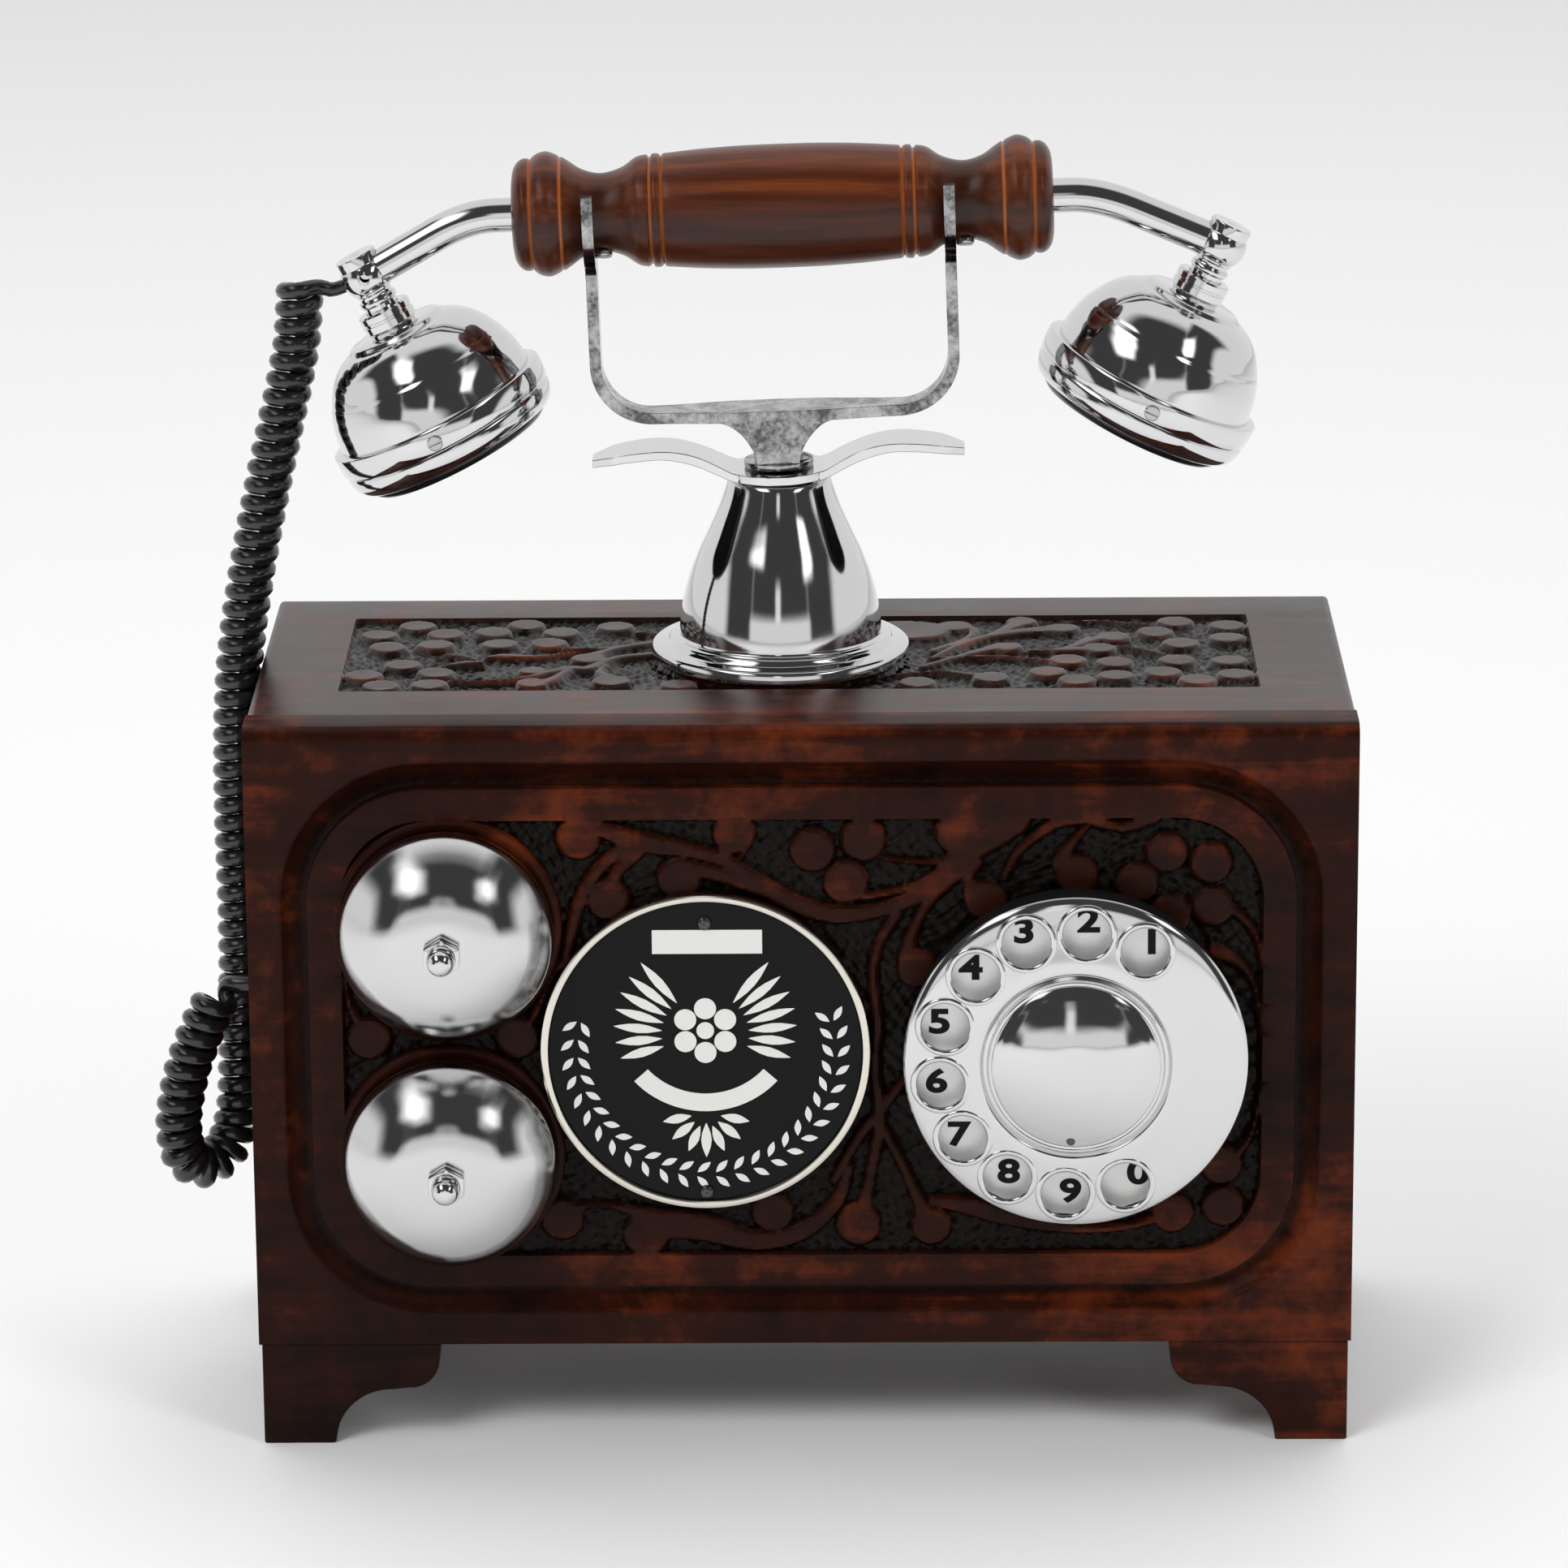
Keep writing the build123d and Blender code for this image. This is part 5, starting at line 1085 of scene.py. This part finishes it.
def drawRosette(bm):
    # a plain garden motif: a flower between two fans of leaves, over a bare swag and a small spray
    b = badge
    for i in range(6):
        a = radians(30 + 60 * i)
        dot(bm, b["flower"] * cos(a), b["flower"] * sin(a) + 5, b["petal"])
    dot(bm, 0, 5, 2.0)
    for side in (-1, 1):
        for i in range(7):
            lift = 50 - 11 * i
            a = radians(lift if side > 0 else 180 - lift)
            leaf(bm, 9.8, a, a, 12.6 - 0.4 * i, 1.1, up=4)
        for i in range(3):
            a = radians(270 + side * (24 + 27 * i))
            leaf(bm, 3.4, a, a, 6.6, 1.1, up=-14.6)
    leaf(bm, 0, 0, radians(270), 8.2, 1.2, up=-17)
    ends = [bm.verts.new((0, 7.6 - reach, b["face"] - 0.05)) for reach in (17.6, 21.8)]
    edge = bm.edges.new(ends)
    bmesh.ops.rotate(bm, cent=(0, 7.6, 0), matrix=Matrix.Rotation(radians(-48), 3, "Z"), verts=ends)
    made = bmesh.ops.spin(bm, geom=ends + [edge], axis=(0, 0, 1), cent=(0, 7.6, 0), angle=radians(96),
                          steps=24)
    raisePatch(bm, list({f for g in made["geom_last"] + ends for f in swagFaces(g)}))


def swagFaces(part):
    # every face joined, one after another, to a part of the swag
    found, edge = set(), set(part.link_faces)
    while edge:
        found |= edge
        edge = {f for face in edge for e in face.edges for f in e.link_faces} - found
    return found


def makeBadgeScrews(centre, place):
    # two dark cross-slotted pan heads
    screws = bmesh.new()
    low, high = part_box("badge_screws")
    for z in (high.z / mm - 1.65, low.z / mm + 1.65):
        outline = smoothLine([(0, 1.0), (0.9, 0.9), (1.5, 0.45), (1.65, 0.0)], 4) + [(1.65, -0.3), (0, -0.3)]
        spinInto(screws, outline, 28, Matrix.Translation((0, z - centre.z, badge["face"])))
        for turn in (0.4, 0.4 + pi / 2):
            bar = bmesh.ops.create_cube(screws, size=1)["verts"]
            bmesh.ops.transform(screws, verts=bar,
                                matrix=Matrix.Translation((0, z - centre.z, badge["face"] + 0.92))
                                @ Matrix.Rotation(turn, 4, "Z") @ Matrix.Diagonal((2.1, 0.34, 0.16, 1)))
    keep(screws, "badgeScrews", "darkSteel", place, nodes=("badge_screws",))


def spinInto(bm, outline, steps, place):
    # turns one more outline inside a bmesh that already holds other shapes
    verts = [bm.verts.new(place @ Vector((r, 0, h))) for r, h in outline]
    edges = [bm.edges.new(pair) for pair in zip(verts, verts[1:])]
    axis = (place.to_3x3() @ Vector((0, 0, 1))).normalized()
    bmesh.ops.spin(bm, geom=verts + edges, axis=axis, cent=place.translation, angle=2 * pi, steps=steps,
                   use_merge=True)
    bmesh.ops.remove_doubles(bm, verts=bm.verts, dist=0.001)
    bmesh.ops.recalc_face_normals(bm, faces=bm.faces)


makeBadge()
print("badge set")


dial = {"radius": 38.8, "edge": 11.5, "plate": 8.0, "holeCircle": 30.7, "holeRadius": 5.9, "first": 59.9,
        "step": 25.72, "lip": 0.75, "digitTall": 5.9, "digitWide": 1.32, "ink": 0.12, "bold": 0.30, "dish": (1.1, 12),
        "printed": [(1.6, 0.9), (0.5, 2.0), (-0.5, 1.5), (-1.1, 0.7), (-1.3, -0.2), (-0.9, -0.6),
                    (-0.7, -0.6), (0.4, -0.2), (1.3, -0.9), (3.1, 1.4)]}


def holeAt(i):
    a = radians(dial["first"] + i * dial["step"])
    return dial["holeCircle"] * cos(a), dial["holeCircle"] * sin(a)


def makeWheel():
    # dished wheel with a rolled edge, ten lipped holes and a sunk ring round its middle
    d = dial
    centre = middle("dial_bezel")
    place = frontAxis(centre)
    e = d["edge"]
    front = smoothLine([(21.9, e + 2.3), (24, e + 2.2), (28, e + 1.7), (33, e + 1.15), (36.6, e + 0.55),
                        (38.1, e - 0.05), (38.75, e - 0.7)], 5)
    ring = [(0, e + 2.5), (19.6, e + 2.5), (19.9, e + 2.2), (20.1, e + 1.5), (20.8, e + 1.3), (21.3, e + 1.6),
            (21.5, e + 2.1)]
    back = [(38.8, e - 1.2), (38.4, e - 1.6), (37.8, e - 1.5), (36.4, e - 0.8), (28, e + 0.4),
            (21, e + 0.6), (0, e + 0.6)]
    wheel = turned("fingerWheel", "chrome", ring + front + back, place, steps=180, body="dial",
                   nodes=("finger_wheel",), sharpAt=45)
    drill(wheel, [(*holeAt(i), e) for i in range(10)], place, "chrome", d["holeRadius"], 8, 64)
    lips = bmesh.new()
    for i in range(10):
        x, z = holeAt(i)
        tilt = atan2(*d["dish"])
        r, w = d["holeRadius"] + 0.25, d["lip"]
        outline = [(r + w * cos(a), w * 0.8 * sin(a)) for a in [2 * pi * k / 12 for k in range(12)]]
        lean = Matrix.Rotation(-tilt, 4, Vector((z, -x, 0)).normalized())
        spinLoop(lips, outline, 48, Matrix.Translation((x, z, e + 1.15)) @ lean)
    keep(lips, "fingerHoleLips", "chrome", place, body="dial", sharpAt=80)


def spinLoop(bm, outline, steps, place):
    # turns a closed outline into a ring inside a bmesh that already holds others
    ring = bmesh.new()
    verts = [ring.verts.new((r, 0, h)) for r, h in outline]
    edges = [ring.edges.new(pair) for pair in zip(verts, verts[1:] + verts[:1])]
    bmesh.ops.spin(ring, geom=verts + edges, axis=(0, 0, 1), cent=(0, 0, 0), angle=2 * pi, steps=steps,
                   use_merge=True)
    bmesh.ops.recalc_face_normals(ring, faces=ring.faces)
    bmesh.ops.transform(ring, matrix=place, verts=ring.verts)
    mergeInto(bm, ring)


def makeDialParts():
    d = dial
    centre = middle("dial_bezel")
    place = frontAxis(centre)
    e = d["edge"]
    low = e + 2.55
    cap = smoothLine([(0, 19.0), (6, 18.7), (11.5, 17.5), (15.8, 15.9), (17.9, 14.9)], 6)
    cap += [(18.6, 14.6), (19.0, 14.3), (19.1, low), (0, low)]
    turned("dialCap", "chrome", cap, place, body="dial", nodes=("dial_cap",), sharpAt=60)
    pin = bmesh.new()
    spinInto(pin, [(0, 0.35), (0.75, 0.3), (1.0, 0.0), (1.0, -1.5), (0, -1.5)], 20,
             Matrix.Translation((-1.2, -17.2, 15.35)))
    keep(pin, "dialCapPin", "darkSteel", place, body="dial")
    bezel = [(31, 0), (37.6, 0), (37.6, 6.4), (37.3, 6.9), (36.6, 7.2), (31, 7.2), (31, 0)]
    turned("dialBezel", "black", bezel, place, nodes=("dial_bezel",))
    plate = [(7, d["plate"]), (36.9, d["plate"]), (37.15, d["plate"] - 0.2), (37.15, 7.2), (7, 7.2),
             (7, d["plate"])]
    turned("numberPlate", "digitPlate", plate, place, nodes=("number_plate",))


def textBmesh(body, tall, thick, bold):
    # one digit as a solid, its middle on the origin
    data = bpy.data.curves.new("digit", "FONT")
    data.body = body
    data.size = tall * 1.4
    data.offset = bold
    data.extrude = thick / 2
    data.resolution_u = 6
    holder = bpy.data.objects.new("digit", data)
    bpy.context.collection.objects.link(holder)
    graph = bpy.context.evaluated_depsgraph_get()
    mesh = bpy.data.meshes.new_from_object(holder.evaluated_get(graph))
    bpy.data.objects.remove(holder)
    bpy.data.curves.remove(data)
    bm = bmesh.new()
    bm.from_mesh(mesh)
    bpy.data.meshes.remove(mesh)
    xs = [v.co.x for v in bm.verts]
    ys = [v.co.y for v in bm.verts]
    grow = tall / (max(ys) - min(ys))
    bmesh.ops.translate(bm, verts=bm.verts, vec=(-(max(xs) + min(xs)) / 2, -(max(ys) + min(ys)) / 2, 0))
    bmesh.ops.scale(bm, verts=bm.verts, vec=(grow, grow, 1))
    return bm


def makeDigits():
    # ten bold digits printed on the plate, the plate set a little round from the holes
    centre = middle("dial_bezel")
    ink = bmesh.new()
    for i, (right, up) in enumerate(dial["printed"]):
        digit = textBmesh(str((i + 1) % 10), dial["digitTall"], dial["ink"], dial["bold"])
        x, z = holeAt(i)
        bmesh.ops.scale(digit, verts=digit.verts, vec=(dial["digitWide"], 1, 1))
        bmesh.ops.translate(digit, verts=digit.verts, vec=(x + right, z + up, dial["plate"] + 0.05))
        mergeInto(ink, digit)
    keep(ink, "dialDigits", "digitInk", frontAxis(centre))


makeWheel()
makeDialParts()
makeDigits()
print("dial assembled")


def makeCone():
    # stepped flange with a rolled bead, bell-shaped body and a flat top
    centre = middle("cone_stand")
    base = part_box("cone_stand")[0].z / mm
    top = topOf("cone_stand") - base
    outline = [(0, 0), (29.3, 0), (29.8, 0.4), (29.8, 2.3), (29.5, 2.9), (28.8, 3.2), (26.4, 3.35),
               (25.9, 3.6), (25.7, 4.4), (25.2, 4.95), (24.4, 5.1), (23.7, 5.1)]
    outline += smoothLine([(23.4, 5.4), (23.1, 9), (22.4, 13.4), (21, 18.6), (18.9, 24.2), (16.4, 29.6),
                           (13.9, 35.4), (12.0, top - 1.2)], 6)
    outline += [(11.7, top - 0.5), (11.2, top), (4.6, top), (4.6, top - 3), (10, top - 3.2), (20, 10),
                (21.6, 0.3), (0, 0.3)]
    turned("coneStand", "chrome", outline[1:-1], spotPlace(centre.x, centre.y, base), steps=160,
         nodes=("cone_stand",), sharpAt=50)


makeCone()
finishedCopy("wing_plate", "wingPlate", "chrome", soften=0.3, sharpest=40, sharpAt=45)
finishedCopy("cradle_yoke", "cradleYoke", "wornPlate", body="cradle", soften=0.25, sharpest=40, sharpAt=45)
print("stand and cradle polished")


handle = {"half": 61.5, "grooves": (27.35, 30.0, 50.3, 57.2), "groove": 0.55, "neck": (41.5, 9, 0.7),
          "end": (59.5, 2.5, 0.4)}


def makeHandle():
    # turned handle: barrel, pairs of fine grooves, flares, necks, end beads
    barrel = smoothLine([(0, 14.1), (9, 14.0), (18, 13.6), (26.6, 12.9)], 5)
    grooves = [(27.0, 12.75), (27.35, 12.15), (27.8, 12.75), (28.4, 12.95), (29.4, 12.9), (29.8, 12.2),
               (30.2, 12.15), (30.5, 12.6)]
    neck = smoothLine([(31, 12.75), (33.2, 12.2), (36.6, 10), (41.2, 8.9), (45.4, 9.9), (48.6, 12.0),
                       (50, 12.9)], 5)
    beads = smoothLine([(50.4, 12.75), (51.4, 13.5), (53.5, 14.25), (55.6, 13.8), (56.9, 12.9)], 5)
    tail = [(57.2, 12.45)] + smoothLine([(57.6, 12.75), (58.9, 12.75), (60.2, 11.9), (61.1, 10.4),
                                         (61.5, 8.4)], 4)
    half = barrel + grooves + neck + beads + tail
    end = handle["half"]
    outline = [(0, -end)] + [(r, -x) for x, r in reversed(half)] + [(r, x) for x, r in half[1:]] + [(0, end)]
    bm = turnedBmesh(outline, 128)
    groove = bm.verts.layers.float.new("groove")
    shade = bm.verts.layers.float.new("shade")
    for vert in bm.verts:
        along = abs(vert.co.z)
        nearest = min(abs(along - g) for g in handle["grooves"])
        vert[groove] = max(0.0, 1 - nearest / handle["groove"])
        vert[shade] = sum(max(0.0, 1 - abs(along - at) / reach) * share
                          for at, reach, share in (handle["neck"], handle["end"]))
    keep(bm, "handleTurned", "handleWood", fromMm @ handsetPlace @ Matrix.Rotation(radians(90), 4, "Y"),
         body="handset", nodes=("handle",), sharpAt=60)


cup = {"flange": 19.2, "cap": 39.4, "mouth": 50.0, "soundHole": 0.9}


def onCup(side):
    return fromMm @ cupPlace(side)


def makeCup(side, end):
    c = cup
    f, k, m = c["flange"], c["cap"], c["mouth"]
    outline = [(4.1, f), (10.9, f), (11.4, f + 0.3), (11.7, f + 0.9), (12.6, f + 1.4)]
    outline += smoothLine([(13.2, f + 1.5), (15.8, f + 2.9), (18.6, f + 5.4), (20.6, f + 8.4),
                           (21.4, f + 10)], 5)
    outline += smoothLine([(21.7, f + 10.3), (22.5, f + 12.4), (23.5, f + 15.8), (24.2, k + 0.4)], 5)
    outline += [(23.2, k + 4), (22.2, f + 15), (20, f + 9), (14, f + 4), (4.1, f + 2), (4.1, f)]
    turned(f"{end}Cup", "chrome", outline, onCup(side), steps=144, body="handset",
         nodes=(handset["cups"][side],), sharpAt=42)
    ring = [(23.6, k), (25.7, k), (26.15, k + 0.25), (26.3, k + 0.7), (26.25, k + 2.8), (26.1, k + 5.0),
            (25.8, k + 5.35), (25.6, k + 5.6), (25.75, k + 5.95)]
    ring += smoothLine([(25.85, k + 6.3), (25.6, k + 8.0), (24.9, k + 9.6), (23.9, m - 0.1), (22.9, m)], 4)
    ring += [(22.4, m - 0.15), (22.3, m - 1.4), (22.9, m - 2), (22.9, k + 5), (23.6, k + 4), (23.6, k)]
    turned(f"{end}CapRing", "chrome", ring, onCup(side), steps=144, body="handset", sharpAt=42)
    nut = [(4.1, 13.6), (5.8, 13.6), (6.3, 14.0), (6.3, 15.4), (6.05, 15.6), (6.05, 16.0), (6.3, 16.2),
           (6.3, 17.8), (5.9, 18.3), (5.6, 18.5), (5.6, f), (4.1, f), (4.1, 13.6)]
    turned(f"{end}CollarNut", "chrome", nut, onCup(side), steps=64, body="handset")


def makeInsert(side, name, node, rings):
    # the moulded insert, dished, with rings of sound holes
    m = cup["mouth"]
    outline = [(0, m - 1.0)] + smoothLine([(1, m - 1.0), (8, m - 0.7), (15.5, m + 0.3), (18.4, m + 1.75)], 5)
    outline += [(19.4, m + 2.0), (21.0, m + 1.9), (21.9, m + 1.2), (22.3, m + 0.4), (22.3, m - 2), (0, m - 2)]
    piece = turned(name, "black", outline, onCup(side), steps=96, body="handset", nodes=(node,), sharpAt=50)
    turns = [(reach, 2 * pi * i / count) for count, reach in rings for i in range(count)]
    holes = [(reach * cos(a), reach * sin(a), m - 0.3) for reach, a in turns]
    drill(piece, holes, onCup(side), "black", cup["soundHole"], 1.6, 20)


def makeTube(side, end):
    # bright bent tube from the handle's end into the elbow
    h = handset
    ball = handsetPlace.inverted() @ cupPlace(side) @ Vector((0, 0, h["bore"]))
    knee = Vector((side * h["knee"], 0, 0))
    start, straight = h["tubeFrom"]
    route = [Vector((side * start, 0, 0)), Vector((side * straight, 0, 0.1)), knee, ball.lerp(knee, 0.4),
             ball.lerp(knee, 0.04)]
    path = evenSteps(readLine(route), 1.0)
    bm = bmesh.new()
    tubeAlong(bm, path, [h["tube"]] * len(path), 40)
    keep(bm, f"{end}Tube", "chrome", fromMm @ handsetPlace, body="handset",
         nodes=(h["tubes"][side],), sharpAt=60)


makeHandle()
for side, end in ((-1, "transmitter"), (1, "receiver")):
    makeCup(side, end)
    makeTube(side, end)
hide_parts("cap_rings")
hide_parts("collar_nuts")
makeInsert(-1, "mouthpieceInsert", "mouthpiece", [(1, 0), (6, 4), (12, 8)])
makeInsert(1, "earpieceInsert", "earpiece", [(1, 0), (6, 4)])
for side in ("Left", "Right"):
    finishedCopy(f"elbow_{side.lower()}", f"elbow{side}", "chrome", body="handset")
finishedCopy("handset_screws", "handsetScrews", "steel", body="handset")
print("handset assembled")


for node, name in (("front_feet", "frontFeet"), ("rear_feet", "rearFeet"),
                   ("left_side_board", "leftSideBoard"),
                   ("right_side_board", "rightSideBoard"), ("back_panel", "backPanel"),
                   ("bottom_board", "bottomBoard")):
    wood = "uprightWood" if "side" in node else "boxWood"
    finishedCopy(node, name, wood, soften=0.5, sharpest=50, sharpAt=40)
finishedCopy("line_inlet", "lineInlet", "black", soften=0.2)
finishedCopy("cord_grommet", "cordGrommet", "rubber")
print("feet and boards finished")

nodeFinishes = {
    "bell_posts": "steel", "ringer_frame": "zinc", "ringer_core": "steel", "ringer_coils": "windings",
    "clapper": "steel", "clapper_pin": "steel", "dial_case": "zinc", "dial_bush": "brass",
                "dial_shaft": "steel",
    "dial_governor": "brass", "dial_spring": "steel", "dial_contacts": "black", "plunger_rod": "chrome",
    "guide_bush": "brass", "return_spring": "steel", "hook_switch": "black", "stand_screws": "steel",
    "sound_capsules": "zinc", "terminal_block": "black", "induction_coil": "windings",
                "back_panel_screws": "steel",
}
for node, finish in nodeFinishes.items():
    data = frame["nodes"][node].data
    data.materials.clear()
    data.materials.append(finishes[finish])
print("inner works finished:", len(nodeFinishes))


studio = {
    "sky": 0.80, "dark": 0.055, "box": 2.2, "shown": 1.0, "floor": 3, "pale": 0.90, "aim": (0, 0, 0.14),
    # soft boxes: middle across, its inner and outer edge, middle up, its inner and outer edge, strength
    "boxes": [(-0.50, 0.08, 0.20, 0.70, 0.10, 0.22, 1.0), (0.58, 0.04, 0.12, 0.58, 0.08, 0.18, 1.0),
              (-0.04, 0.02, 0.08, 0.30, 0.08, 0.20, 0.4)],
    "lamps": [("key", (-0.8, -1.2, 1.4), (0.8, 0.8), 14), ("fill", (1.2, -1.2, 1.0), (0.6, 1.0), 8),
              ("overhead", (0, 0.8, 1.9), (2.2, 1.8), 16)],
}


def lamp(name, at, size, power):
    data = bpy.data.lights.new(name, "AREA")
    data.shape = "RECTANGLE"
    data.size, data.size_y = size
    data.energy = power
    light = bpy.data.objects.new(name, data)
    bpy.context.collection.objects.link(light)
    light.location = at
    light.rotation_euler = (Vector(studio["aim"]) - Vector(at)).to_track_quat("-Z", "Y").to_euler()
    light.visible_glossy = False


def makeWorld():
    # what the bright metal mirrors: a dark room above the camera with soft boxes, dark flanks, pale behind
    world = bpy.data.worlds.new("studio")
    bpy.context.scene.world = world
    world.use_nodes = True
    sky = Nodes(world.node_tree)
    x, y, z = sky.axes(sky.node("ShaderNodeTexCoord", output="Generated"))
    toFront = (0 - y).step(-0.05, 0.25)
    high = z.step(0.10, 0.24)
    flank = (1 - (x.absolute() - 0.74).absolute().step(0.13, 0.20)) * (0 - y).step(-0.35,
                                                                                   -0.15) * z.step(-0.35,
                                                                                                   -0.1)
    room = toFront * high * (1 - x.absolute().step(0.50, 0.66))
    dark = (room + flank).atMost(1)
    boxes = 0
    for across, nearX, farX, up, nearZ, farZ, strength in studio["boxes"]:
        wide = 1 - (x - across).absolute().step(nearX, farX)
        tall = 1 - (z - up).absolute().step(nearZ, farZ)
        boxes = wide * tall * toFront * strength + boxes
    level = (1 - dark) * studio["sky"] + studio["dark"] + boxes * studio["box"]
    seen = sky.node("ShaderNodeLightPath", output="Is Camera Ray")
    level = level * (1 - seen) + seen * studio["shown"]
    tint = sky.node("ShaderNodeCombineXYZ", None, {"X": level, "Y": level, "Z": level})
    sky.feed(world.node_tree.nodes["Background"].inputs["Color"], tint)


def makeStudio():
    bm = bmesh.new()
    bmesh.ops.create_grid(bm, x_segments=1, y_segments=1, size=studio["floor"])
    mesh = bpy.data.meshes.new("floor")
    bm.to_mesh(mesh)
    bm.free()
    floorFinish = Finish("paleFloor")
    mesh.materials.append(floorFinish.use(base=(studio["pale"],) * 3, roughness=0.6))
    floor = bpy.data.objects.new("floor", mesh)
    bpy.context.collection.objects.link(floor)
    makeWorld()
    for settings in studio["lamps"]:
        lamp(*settings)


makeStudio()
bpy.context.scene.view_settings.view_transform = "Standard"
print("studio lit")
